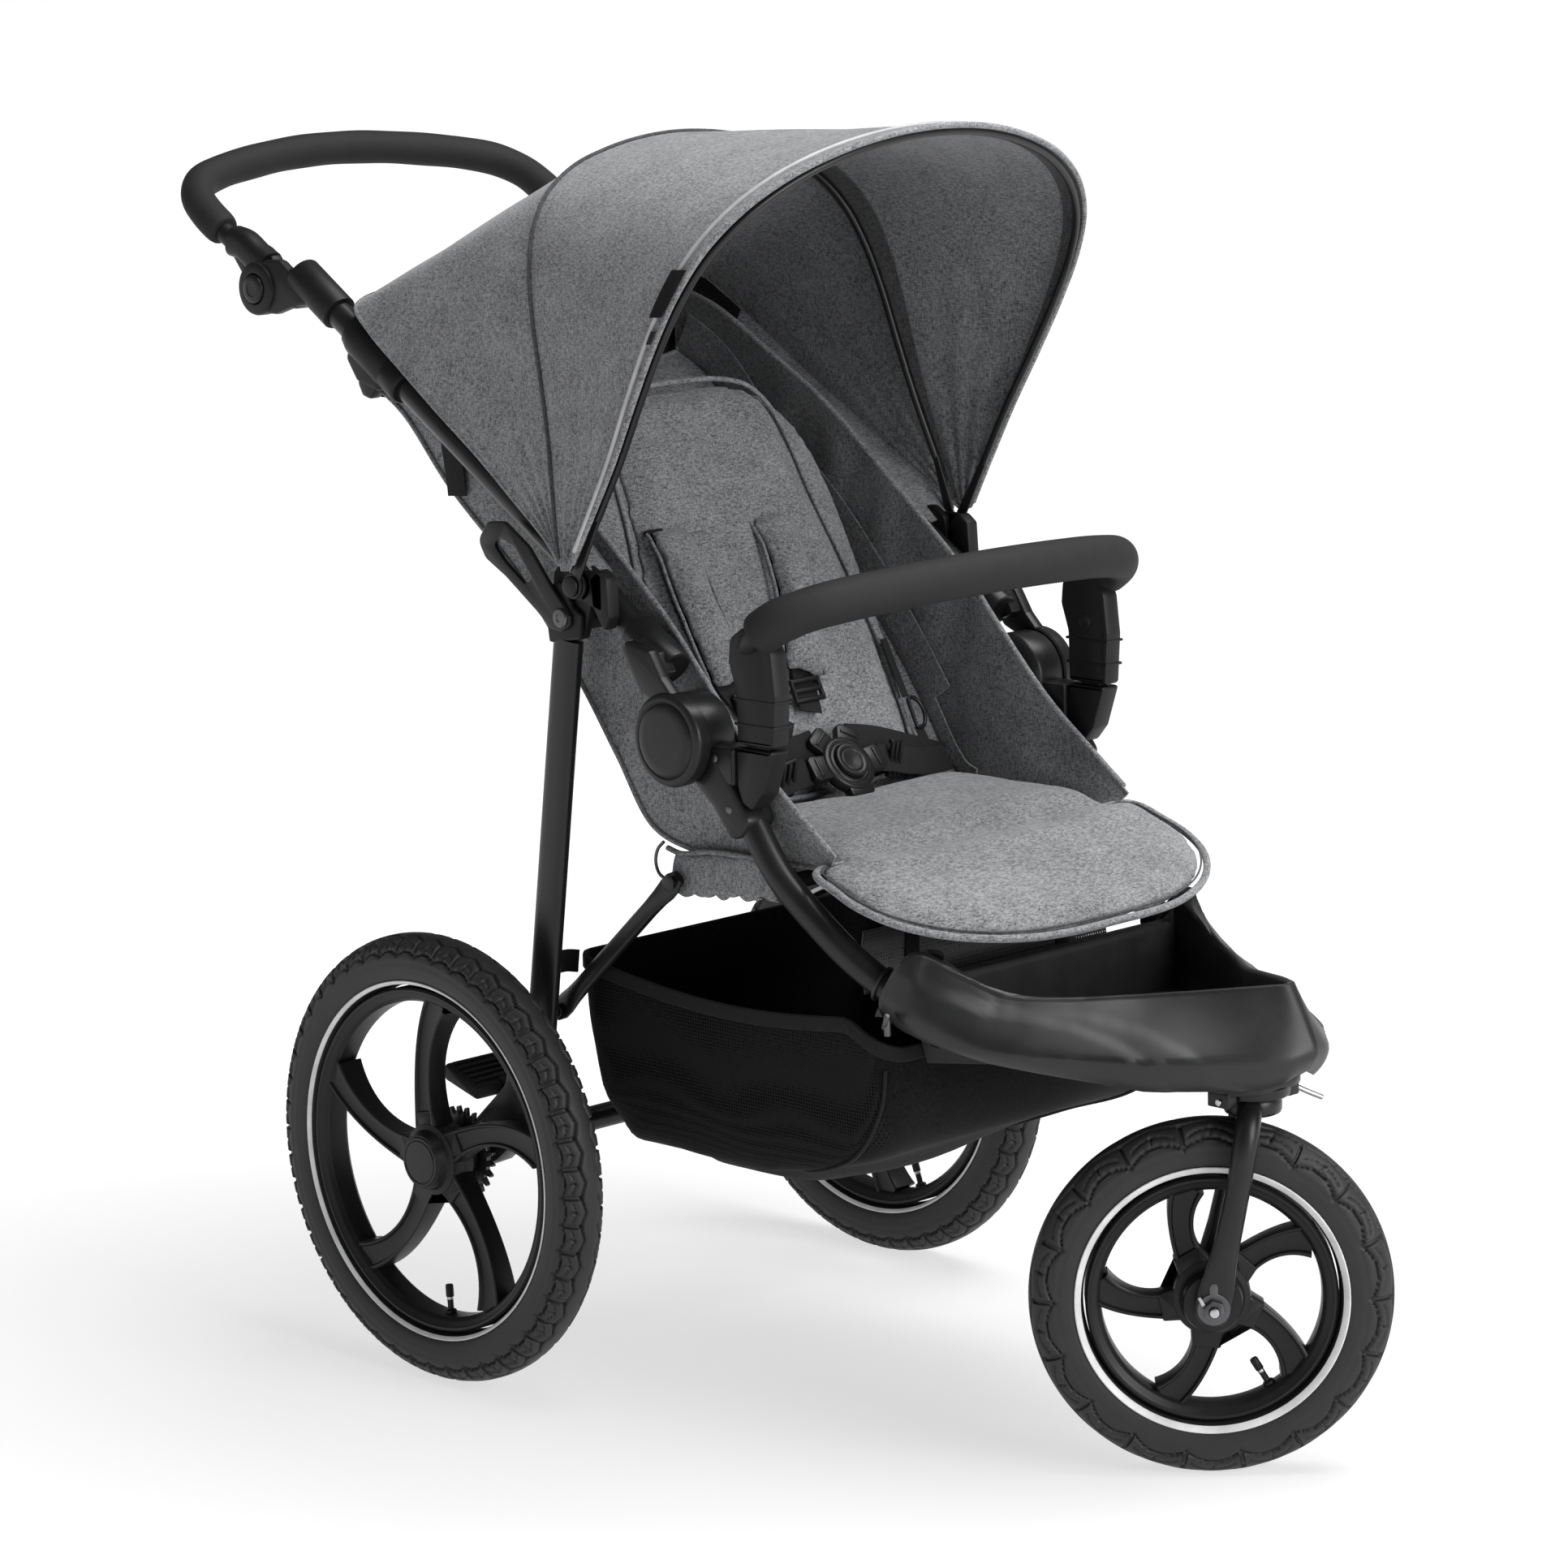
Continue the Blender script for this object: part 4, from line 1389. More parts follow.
# inner sleeves of the bows
def strip(G, rows, off, t, name, body, mat):
    Gs = G[rows[0]:rows[1], 2:-2]
    N, s = outward(Gs)
    Gs = Gs - N * off
    if s < 0:
        Gs = Gs[:, ::-1]
    ob = cloth(name, Gs, t, M[mat], 60)
    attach(ob, body)
    return ob


strip(Gf, (33, 37), 2.9, 1.2, "canopy_mid_sleeve", "canopy_mid", "piping")
strip(Gf, (0, 5), 2.9, 1.2, "canopy_front_sleeve", "canopy_front", "piping")
strip(Gr, (0, 3), 2.9, 1.2, "canopy_mid_sleeve_rear", "canopy_mid", "piping")
# gusset from the rear panel's hem in to the wings and the top of the seat back
g_hem = [(h[0] - 3.5, h[1] + 1.0, h[2] + 2.0) for h in HEM]
g_in = [(184.5, -146, 722), (184.5, -116, 748), (184.0, -70, 786), (183.4, -20, 824), (182.8, 34, 856), (183, 84, 880), (184, 120, 884), (184.5, 148, 872), (180, 165, 853), (160, 168, 848), (120, 168, 846), (60, 168, 846), (0, 168, 846)]
ga, gb = spline(g_hem, n=110), spline(g_in, n=110)
ga, gb = [np.vstack([q, q[-2::-1] * [-1, 1, 1]]) for q in (ga, gb)]
Gg = np.array([ga * (1 - v) + gb * v - np.array([0, 0, 5.0]) * math.sin(math.pi * v) for v in np.linspace(0, 1, 9)])
if grid_normals(Gg)[:, :, 2].mean() < 0:
    Gg = Gg[:, ::-1]
gus = cloth("canopy_gusset", Gg, 1.3, [M["lining"], M["blackcloth"]], 60)
for p in gus.data.polygons:
    if p.center.y > (104 + S) * 0.001:
        p.material_index = 1
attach(gus, "push_frame")
# woven label and small tag, both blank
def patch(G, i0, i1, j0, j1, off, t, name, body, mat):
    Gs = G[i0:i1 + 1, j0:j1 + 1]
    N, s = outward(Gs)
    Gs = Gs + N * (off + t)
    if s < 0:
        Gs = Gs[:, ::-1]
    ob = cloth(name, Gs, t, M[mat], 60)
    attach(ob, body)
    return ob


def cam_px(P):
    v = np.asarray(P, float) - [-3063.738, -3321.142, 1337.532]
    z = v @ np.array(fwd)
    return np.stack([966 + 6254.126 * (v @ np.array(r_)) / z, 966 + 6254.126 * (v @ np.array(d_cam)) / z], -1)


def near_col(row, u, v):
    p = cam_px(Gf[row])
    k = np.where(Gf[row][:, 0] < 0, np.hypot(p[:, 0] - u, p[:, 1] - v), 1e9)
    return int(np.argmin(k))


ja, jb = sorted((near_col(2, 822, 396), near_col(2, 845, 336)))
patch(Gf, 0, 4, ja, jb, 2.6, 1.0, "canopy_label", "canopy_front", "blackcloth")
ja, jb = sorted((near_col(2, 812, 430), near_col(2, 818, 412)))
patch(Gf, 0, 2, ja, max(jb, ja + 2), 2.6, 0.9, "canopy_tag", "canopy_front", "web")
xs_ = np.linspace(-150, 150, 31)
Gn = np.array([np.c_[xs_, np.full(31, -404 + 3 * math.sin(3 * v)), np.full(31, 384 + 54 * v)] for v in np.linspace(0, 1, 9)])
on = cloth("footwell_net", Gn, 1.0, M["opennet"], 60)
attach(on, "chassis")
for sx in (-1, 1):
    piece(f"footwell_net_tape_{'left' if sx > 0 else 'right'}", ribbon(np.array([(sx * 92, -405.6 + 0.2 * k, 381 + 7 * k) for k in range(9)], float), (1, 0, 0), 16, 1.4), "web", "chassis", angle=50)


def bow_mesh(pts, alpha, x0, x1, ins, name, body, repl):
    path = [(x - (x / 247) * ins * 0.9, r - ins * 0.7 * min(1, r / 380)) for x, r in pts[1:]]
    full = [bow_pt(alpha, x, r) for x, r in path + [(-x, r) for x, r in path[-2::-1]]]
    a = sweep(spline(full, step=6), circle(3.4, 14), dome=2)
    xm = (x0 + x1) / 2
    eye = lathe([(5.4, x0), (10.2, x0), (11, x0 + 0.8), (11, x1 - 0.8), (10.2, x1), (5.4, x1)], (1, 0, 0), (0, *CH), 40)
    c_ = np.array(bow_pt(alpha, xm, 9.5))
    e_ = np.array(bow_pt(alpha, path[0][0], path[0][1] + 2))
    stem = loft_path(np.linspace(c_, e_, 8), [1.7] * 8, [5.5, 5.2, 5, 4.6, 4.2, 3.9, 3.6, 3.4], (1, 0, 0), 20, 2.6)
    one = merge(eye, stem)
    piece(name, merge(a, one, mirror(one)), "tube", body, repl, 42)


bow_mesh(F_OUT, 120, 232.6, 236.1, 10.5, "canopy_bow_front", "canopy_front", "canopy_bow_front")
bow_mesh(M_OUT, 74, 227.9, 231.5, 10.5, "canopy_bow_mid", "canopy_mid", "canopy_bow_mid")

# ---------------------------------- seat shell
E_ = [(182, -405, 506), (182, -367, 534), (181, -310, 579), (180.5, -252, 639), (181, -210, 684), (181, -160, 727), (181, -100, 776), (180, -40, 824), (179, 30, 866), (178, 100, 905), (176, 160, 925)]
B_ = [(173.5, -392, 492), (175, -345, 491), (175.5, -285, 490), (178, -226, 490), (186, -190, 506), (188, -150, 562), (188, -108, 618), (188, -30, 706), (188, 60, 780), (187, 118, 838), (184, 160, 862)]
Es, Bs = spline(E_, n=150), spline(B_, n=150)
vv = np.linspace(0, 1, 26)
Gs = np.array([Es * (1 - v) + Bs * v for v in vv])
n_, m_, _ = Gs.shape
I, J = np.meshgrid(vv, np.linspace(0, 1, m_), indexing="ij")
yy = Gs[:, :, 1]
hubz = np.exp(-(((Gs[:, :, 1] + 258) / 60) ** 2 + ((Gs[:, :, 2] - 594) / 60) ** 2))
billow = 2.5 * np.sin(np.pi * I) * (1 - hubz)
fold_ = 3.8 * np.sin(np.pi * I) * np.sin((yy + Gs[:, :, 2] * 0.35) / 13.0) * np.exp(-((yy + 120) / 170) ** 2) * (1 - hubz)
Gs[:, :, 0] += np.clip(billow + 0.8 * fold_ + 1.0 * wob(I * 4, J * 12, 1, 11) * np.sin(np.pi * I), -6.5, 3.2) - 1.0
# keep clear of what stands beside it
lim_x = np.where((yy > -300) & (yy < -215) & (Gs[:, :, 2] > 550) & (Gs[:, :, 2] < 642), 182.6, 188.5)
lim_x = np.where((yy < -215) & (Gs[:, :, 2] < 492), 177.6, lim_x)
Gs[:, :, 0] = np.minimum(Gs[:, :, 0], lim_x)
seat_sides = []
for sd, sg in (("left", 1), ("right", -1)):
    G = Gs * [sg, 1, 1]
    if sg < 0:
        G = G[:, ::-1]
    # outer face looks away from the middle
    N = grid_normals(G)
    if np.sign(N[:, :, 0].mean()) != sg:
        G = G[:, ::-1]
    ob = make_sheet(f"seat_side_{sd}", G, 1.8, "fabric", ("chassis", "push_frame", (0, -335, 520), (0, -225, 600)), "seat_side_" + sd, declare=True)
    seat_sides.append(ob)
    e = Es[2:-2] * [sg, 1, 1]
    pp = piece(f"seat_side_piping_{sd}", sweep(e, circle(2.6, 14), dome=2), "fabric", "push_frame", angle=60, ride=False)
    tuple(V3((0, -335, 520))[0])
    tuple(V3((0, -225, 600))[0])
    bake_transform(pp)
    bb_ = Bs[4:-2] * [sg, 1, 1]
    pp = piece(f"seat_side_seam_{sd}", sweep(bb_, circle(2.2, 12), dome=2), "fabric", "push_frame", angle=60, ride=False)
    tuple(V3((0, -335, 520))[0])
    tuple(V3((0, -225, 600))[0])
    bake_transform(pp)


def back_rows(js, flap, bulge0):
    rows = []
    T = np.gradient(Bs, axis=0)
    T /= np.linalg.norm(T, axis=1)[:, None]
    for j in js:
        b = Bs[j]
        t = T[j]
        fwd_ = np.array([0, -t[2], t[1]])  # forwards and up, square to the line
        fl = flap
        xs = b[0] - 3.2
        left = [b * [0, 1, 1] + [xs - 3.5, 0, 0] + fwd_ * f for f in np.linspace(fl, 6, 6)]
        cor = [b * [0, 1, 1] + [xs - 2.2, 0, 0] + fwd_ * 2.0, b * [0, 1, 1] + [xs - 6.5, 0, 0] - fwd_ * 0.6]
        mid_ = []
        for x in np.linspace(xs - 14, 0, 15)[:-1]:
            k = 1 - (x / xs) ** 2
            mid_.append(b * [0, 1, 1] + [x, 0, 0] - fwd_ * (bulge0 * k + 1.2))
        half = left + cor + mid_
        ctr = [b * [0, 1, 1] - fwd_ * (bulge0 + 1.2)]
        rows.append(np.array(half + ctr + [p * [-1, 1, 1] for p in half[::-1]]))
    return np.array(rows)


Gb = back_rows(range(56, 149, 2), 42, 10.0)
n_, m_, _ = Gb.shape
I, J = np.meshgrid(np.linspace(0, 1, n_), np.linspace(0, 1, m_), indexing="ij")
N = grid_normals(Gb)
Gb += N * (1.6 * wob(I * 7, J * 9, 1, 21) * np.sin(np.pi * J) ** 2)[:, :, None]
if (N[:, m_ // 2, 1].mean()) < 0:
    Gb = Gb[:, ::-1]
make_sheet("seat_back", Gb, 1.8, "fabric", ("push_frame", "backrest", (0, 130, 860), (0, -90, 640)), ())
Gl = back_rows(range(34, 58, 2), 20, 8.0)
N = grid_normals(Gl)
n_, m_, _ = Gl.shape
if (N[:, m_ // 2, 1].mean()) < 0:
    Gl = Gl[:, ::-1]
make_sheet("seat_back_lower", Gl, 1.8, "fabric", ("chassis", "push_frame", (0, -205, 500), (0, -150, 560)), ())
# top hem of the seat back, and its lower hem gathered over the seat frame's rails
hemt = [tuple(p) for p in back_rows([148], 42, 10.0)[0][5:-5]]
piece("seat_back_top_hem", sweep(np.array(hemt), circle(3.2, 14), dome=2), "fabric", "push_frame", angle=60)


def gathered(path, w, h, seed, n_s=52):
    p = spline(path, step=1.6)
    T, Nn, Bn = frames(p, (0, 0, 1))
    a = np.arange(n_s) / n_s * 2 * math.pi
    rows = []
    for i in range(len(p)):
        s = i * 1.6
        k = 1 + 0.03 * math.sin(s / 5.2) + 0.02 * math.sin(s / 2.9 + 1)
        cx = np.sign(np.cos(a)) * abs(np.cos(a)) ** 0.6 * h / 2
        cy = np.sign(np.sin(a)) * abs(np.sin(a)) ** 0.6 * w / 2
        low = np.clip(-np.cos(a), 0, 1) ** 2
        wrk = (1.7 * math.sin(s / 4.6 + 0.7 * math.sin(s / 13)) + 1.0 * math.sin(s / 2.3 + 2)) * low
        endk = min(1, (i + 1) / 3, (len(p) - i) / 3)
        r = p[i] + endk * ((cx * k - wrk)[:, None] * Nn[i] + (cy * (1 + 0.1 * np.sin(s / 6.0) * low))[:, None] * Bn[i])
        rows.append(r)
    F = grid_faces(len(rows), n_s, wrap=True)
    F.append(tuple(range(n_s))[::-1])
    F.append(tuple((len(rows) - 1) * n_s + j for j in range(n_s)))
    return np.vstack(rows), F


hm = gathered([(183, -341, 479), (183, -300, 475), (183, -260, 471.5), (183, -226, 468), (183, -212, 470)], 12.6, 36, 3)
for sd, g in (("left", hm), ("right", mirror(hm))):
    ob = piece(f"seat_hem_{sd}", g, "fabric", "chassis", angle=70)
hb = sweep(spline([(184, -341, 489.5), (184.5, -300, 493), (184.5, -255, 491.5), (184.5, -222, 486), (185, -206, 489)], step=3), circle(2.4, 12), dome=1.5)
sides("seat_hem_piping", hb, "fabric", "chassis", None, 60)
rear_hem = gathered([(178, -214, 468), (90, -214, 466), (0, -214, 465), (-90, -214, 466), (-178, -214, 468)], 12, 24, 9, 30)
ob = piece("seat_hem_rear", rear_hem, "fabric", "chassis", angle=70)
wire = sweep(spline([(187, -203, 494), (187.5, -196, 487), (187.5, -193, 476), (187.5, -197, 466), (187, -206, 462), (186.5, -214, 463)], step=2), circle(1.5, 12), dome=1)
sides("hem_hook", wire, "darksteel", "chassis", None, 40)

# ---------------------------------- pads
b0_, b1_ = np.array([-203.0, 516.0]), np.array([-36.0, 862.0])
ub = (b1_ - b0_) / np.linalg.norm(b1_ - b0_)
nb_ = np.array([-ub[1], ub[0]])


def bk(u, v, w):
    """Backrest plane: u across, v up the back, w towards the child."""
    u, v, w = np.broadcast_arrays(np.asarray(u, float), np.asarray(v, float), np.asarray(w, float))
    return np.stack([u, b0_[0] + ub[0] * v + nb_[0] * w, b0_[1] + ub[1] * v + nb_[1] * w], -1)


def closed_outline(half, n=120):
    p = list(half) + [(-x, s) for x, s in half[::-1] if x > 0]
    return spline(p, n=n, closed=True)


board = closed_outline([(148, 6), (155, 40), (156, 120), (156, 200), (152, 270), (140, 325), (112, 362), (70, 380), (24, 385)])
ob = mk("backrest_cushion", *pad_mesh(board, bk, -8, -25, 8, 5.0), M["fabric"], 70)
ob = puff(ob, 3.0, 3.0, 6.0)
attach(ob, "backrest")
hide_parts("backrest_cushion")
pad_o = closed_outline([(122, 8), (129, 30), (131, 80), (130, 130), (122, 200), (112, 262), (106, 320), (97, 352), (80, 371), (48, 380), (16, 382)], 150)


def channel(new):
    """Sewn channels and dents across the pad's face."""
    co = new / 0.001 - [0, S, 0]
    v = (co[:, 1] - b0_[0]) * ub[0] + (co[:, 2] - b0_[1]) * ub[1]
    w = (co[:, 1] - b0_[0]) * nb_[0] + (co[:, 2] - b0_[1]) * nb_[1]
    face = np.clip((w + 6) / 6, 0, 1)
    d = 1.1 * np.exp(-((v - 96) / 3.0) ** 2) + 0.9 * np.exp(-((v - 268) / 3.0) ** 2)
    d += 0.8 * wob(co[:, 0] / 60, v / 70, 1, 5)
    co[:, 1] -= nb_[0] * d * face
    co[:, 2] -= nb_[1] * d * face
    return (co + [0, S, 0]) * 0.001


ob = mk("backrest_pad", *pad_mesh(pad_o, bk, 2.5, -9.5, 10, 4.0, crown=2.0), M["fabric"], 70)
ob = puff(ob, 5.0, 4.0, 5.0, keep=channel)
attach(ob, "backrest")
edge = bk(pad_o[:, 0] * 1.012, 190 + (pad_o[:, 1] - 190) * 1.008, np.full(len(pad_o), -3.0))
piece("backrest_pad_piping", sweep(edge, circle(2.2, 12), closed=True), "fabric", "backrest", angle=60)
st_o = inset(pad_o, 9)
# slots for the shoulder straps
for nm, x, v in (("right", -80, 247), ("left", 42, 249), ("left_low", 42, 268) if False else ("left2", 96, 248)):
    if nm == "left2":
        continue
    o = rounded([(x - 24, v - 2.6), (x + 24, v - 2.6), (x + 24, v + 2.6), (x - 24, v + 2.6)], 2, 4)
    piece(f"strap_slot_{nm}", prism(o, 3.0, 7.4, 0.5, lambda a, b, c: bk(a, b, c)), "web", "backrest", angle=40)


def strap_pad(name, ctr, wid, lift, thick=11):
    """Padded sleeve over a shoulder strap: ctr (u, v) points down the back."""
    c = spline([(u, v, 0) for u, v in ctr], n=36)[:, :2]
    t = np.gradient(c, axis=0)
    t /= np.linalg.norm(t, axis=1)[:, None]
    nrm = np.c_[-t[:, 1], t[:, 0]]
    k = np.linspace(0, 1, 36)
    h = np.interp(k, [0, 0.06, 0.2, 0.55, 0.9, 1], lift)
    a = np.arange(40) / 40 * 2 * math.pi
    rows = []
    for i in range(36):
        e = min(1, math.sin(min(1, k[i] * 14) * math.pi / 2) + 0.02, math.sin(min(1, (1 - k[i]) * 12) * math.pi / 2) + 0.05)
        cx = np.sign(np.cos(a)) * abs(np.cos(a)) ** 0.55 * wid / 2 * (0.82 + 0.18 * e)
        cy = np.sign(np.sin(a)) * abs(np.sin(a)) ** 0.9 * thick / 2 * max(e, 0.15)
        bend = -2.5 * (2 * cx / wid) ** 2
        q = c[i] + nrm[i] * cx[:, None]
        rows.append(bk(q[:, 0], q[:, 1], h[i] + cy + bend))
    F = grid_faces(36, 40, wrap=True)
    F.append(tuple(range(40))[::-1])
    F.append(tuple(35 * 40 + j for j in range(40)))
    ob = mk(name, np.vstack(rows), F, M["fabric"], 70)
    ob = puff(ob, 3.5, 3.5, 4.0)
    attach(ob, "backrest")
    # binding along both edges
    for sgn in (-1, 1):
        q = c[1:-1] + nrm[1:-1] * sgn * (wid / 2 + 0.6)
        piece(f"{name}_binding_{'a' if sgn < 0 else 'b'}", sweep(bk(q[:, 0], q[:, 1], h[1:-1] - 3.5), circle(1.7, 10), dome=1.2), "fabric", "backrest", angle=60)
    return ob


lift = [7, 13, 19, 22, 20, 16]
strap_pad("shoulder_pad_right", [(-80, 248), (-82, 225), (-84, 180), (-80, 135), (-74, 98)], 46, lift)
strap_pad("shoulder_pad_left", [(41, 249), (41, 225), (36, 180), (26, 140), (14, 96)], 46, lift)
for nm, pts in (("right", [(-86, 246), (-90, 200), (-88, 150), (-78, 100), (-52, 62), (-28, 44)]), ("left", [(36, 246), (33, 200), (26, 150), (14, 100), (8, 78), (4, 62)])):
    c = spline([(u, v, 0) for u, v in pts], n=44)[:, :2]
    k = np.linspace(0, 1, 44)
    h = np.interp(k, [0, 0.1, 0.5, 0.8, 1], [6.5, 9, 13, 12.5, 17])
    P_ = bk(c[:, 0], c[:, 1], h)
    piece(f"shoulder_strap_{nm}", sweep(P_, rrect(1.5, 25, 0.6, 3), up=(0, nb_[0], nb_[1])), "web", "backrest", angle=50)

# seat cushion
cu = rounded([(172, -208), (-172, -208), (-172, -386.5), (172, -386.5)], 20, 8)
cu_s = spline(np.c_[cu, np.zeros(len(cu))], n=150, closed=True)[:, :2]
ob = mk("seat_cushion", *pad_mesh(inset(cu_s, 2.5), zp, 507.5, 486, 12, 4.5, crown=1.5), M["fabric"], 70)


def cushion_keep(new):
    co = new / 0.001 - [0, S, 0]
    co[:, 2] = np.maximum(co[:, 2], 484.3)
    co[:, 0] = np.clip(co[:, 0], -172.6, 172.6)
    co[:, 1] = np.maximum(co[:, 1], -388.5)
    topf = np.clip((co[:, 2] - 500) / 6, 0, 1)
    d = 2.0 * np.exp(-((co[:, 0] - 6) / 26) ** 2 - ((co[:, 1] + 238) / 22) ** 2) + 0.7 * wob(co[:, 0] / 55, co[:, 1] / 45, 1, 8)
    co[:, 2] -= d * topf
    return (co + [0, S, 0]) * 0.001


ob = puff(ob, 5.0, 4.0, 5.0, keep=cushion_keep)
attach(ob, "chassis")
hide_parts("seat_cushion")
cushion_ob = ob

# leg rest
c20, s20 = math.cos(20 * D2R), math.sin(20 * D2R)


def lr(u, v, w):
    u, v, w = np.broadcast_arrays(np.asarray(u, float), np.asarray(v, float), np.asarray(w, float))
    return np.stack([u, -390 - v * c20 - w * s20 * 0.0, 497 - v * s20 + w], -1)


lo = closed_outline([(40, 1.5), (150, 1.5), (190, 3), (199, 12), (202, 36), (203, 64), (193, 94), (171, 120), (139, 141.5), (97, 156), (48, 162), (14, 163)], 170)
ob = mk("leg_rest_pad", *pad_mesh(inset(lo, 3), lr, 5.5, -10, 12, 4.5, crown=1.5), M["fabric"], 70)


def leg_keep(new):
    co = new / 0.001 - [0, S, 0]
    v = -(co[:, 1] + 390) / c20
    w = co[:, 2] - 497 + v * s20
    topf = np.clip(w / 4, 0, 1)
    lowf = np.clip((-2 - w) / 4, 0, 1)
    d = 0.8 * wob(co[:, 0] / 60, v / 50, 1, 15)
    ripple = 1.3 * np.sin(co[:, 0] / 7.0 + 2 * np.sin(co[:, 0] / 31)) * np.clip((v - 110) / 40, 0, 1)
    co[:, 2] -= d * topf - ripple * lowf
    return (co + [0, S, 0]) * 0.001


ob = puff(ob, 5.0, 4.0, 5.0, keep=leg_keep)
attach(ob, "leg_rest")
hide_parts("leg_rest_pad")
leg_pad = ob


def top_hit(x, y):
    z = -1.0
    for o_ in (cushion_ob, leg_pad):
        hit, loc, _, _ = o_.ray_cast(Vector(V3((x, y, 640))[0]), Vector((0, 0, -1)))
        if hit:
            z = max(z, loc.z / 0.001)
    return z


# cover that runs on over the joint between the cushion and the leg rest
by_ = np.linspace(-322, -446, 32)
bx2 = np.linspace(-164, 164, 47)
Z = np.array([[top_hit(x, y) for x in bx2] for y in by_])
for j_ in range(Z.shape[1]):
    ok = Z[:, j_] > 440
    if ok.any():
        Z[:, j_] = np.interp(np.arange(len(by_)), np.where(ok)[0], Z[ok, j_])
Zm = np.array([Z[max(0, i - 2):i + 3].max(0) for i in range(len(by_))])
k_ = np.array([1, 2, 3, 4, 3, 2, 1]) / 16
Zp = np.vstack([Zm[:1]] * 3 + [Zm] + [Zm[-1:]] * 3)
Zs = sum(k_[m] * Zp[m:m + len(by_)] for m in range(7))
tt = np.linspace(0, 1, len(by_))[:, None]
ends = np.clip(np.minimum(tt, 1 - tt) / 0.2, 0, 1) ** 0.7
edge_ = np.clip((164 - abs(bx2)) / 14, 0, 1)[None, :] ** 0.7
low = np.minimum(ends, edge_)
Zs = np.where(low >= 1, np.maximum(Zs, Z + 0.5), Z - 3.2 + low * (np.maximum(Zs, Z + 0.5) - Z + 3.2))
Gb = np.stack([np.broadcast_to(bx2, Zs.shape), np.broadcast_to(by_[:, None], Zs.shape), Zs], -1)
if grid_normals(Gb)[:, :, 2].mean() < 0:
    Gb = Gb[:, ::-1]
jc = cloth("seat_joint_cover", Gb, 1.2, M["fabric"], 180)
tuple(V3((0, -366, 500))[0])
tuple(V3((0, -412, 496))[0])
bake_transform(jc)
wv = 0.8 * np.sin(np.arange(len(lo)) / 3.7)
piece("leg_rest_piping", sweep(lr(lo[:, 0], lo[:, 1], np.full(len(lo), -2.0) + wv * 0.4), circle(3.3, 14), closed=True), "fabric", "leg_rest", angle=60)
lo_in = inset(lo, 5.2)
piece("leg_rest_seam", sweep(lr(lo_in[:, 0], lo_in[:, 1], np.full(len(lo), 1.2)), circle(0.9, 8), closed=True), "piping", "leg_rest", angle=60)

# ---------------------------------- harness
nB = np.array([0, -0.78, 0.62])
nB /= np.linalg.norm(nB)
cB = np.array([6.0, -232.0, 536.0])
uB = np.array([1.0, 0, 0])
vB = np.cross(nB, uB)


def bq(u, v, w):
    u, v, w = np.broadcast_arrays(np.asarray(u, float), np.asarray(v, float), np.asarray(w, float))
    return cB + u[..., None] * uB + v[..., None] * vB + w[..., None] * nB


body = lathe([(0, -7), (24.5, -7), (26.6, -5), (27, -2), (27, 2.4), (26.2, 4.2), (24.6, 5.2), (22.6, 5.4), (22.0, 4.8), (21.2, 4.8), (20.6, 5.6), (18.4, 6.4), (17.3, 6.2), (17.2, 3.1), (0, 3.1)], tuple(nB), tuple(cB), 80, closed=False)
tongues = []
for ang in (58, 122, 2, 178, 270):
    a = ang * D2R
    ca, sa = math.cos(a), math.sin(a)
    L1 = 40 if ang in (2, 178) else 37
    o = rounded([(22, -11), (L1, -12.5), (L1 + 4, -9), (L1 + 4, 9), (L1, 12.5), (22, 11)], [2, 4, 3, 3, 4, 2], 4)
    if ang == 270:
        o = rounded([(20, -13), (31, -14), (31, 14), (20, 13)], 2.5, 4)
    rot = np.c_[o[:, 0] * ca - o[:, 1] * sa, o[:, 0] * sa + o[:, 1] * ca]
    tongues.append(prism(rot, -5, 3.6, 1.6, bq))
    if ang != 270:
        o2 = rounded([(L1 - 6, -9), (L1 - 3, -9), (L1 - 3, 9), (L1 - 6, 9)], 1, 3)
        rot = np.c_[o2[:, 0] * ca - o2[:, 1] * sa, o2[:, 0] * sa + o2[:, 1] * ca]
        tongues.append(prism(rot, 3.0, 4.8, 0.6, bq))
piece("harness_buckle", merge(body, *tongues), "satin", "chassis", "harness_buckle", 40)
btn = lathe([(0, 6.0), (16.7, 6.0), (16.7, 8.6), (15.8, 9.8), (14.2, 10.1), (11.2, 9.8), (10.6, 9.2), (9.9, 9.2), (9.3, 9.7), (6.0, 9.5), (3, 9.2), (0, 9.0)], tuple(nB), tuple(cB), 64, closed=False)
piece("buckle_button", btn, "satin", "buckle_button", "buckle_button", 40)
piece("crotch_strap", sweep(spline([(6, -246, 508), (6, -244, 512), (6, -240, 516), (6, -238, 521)], step=1.5), rrect(1.6, 25, 0.6, 3), up=(0, -1, 0.3)), "web", "chassis", angle=50)
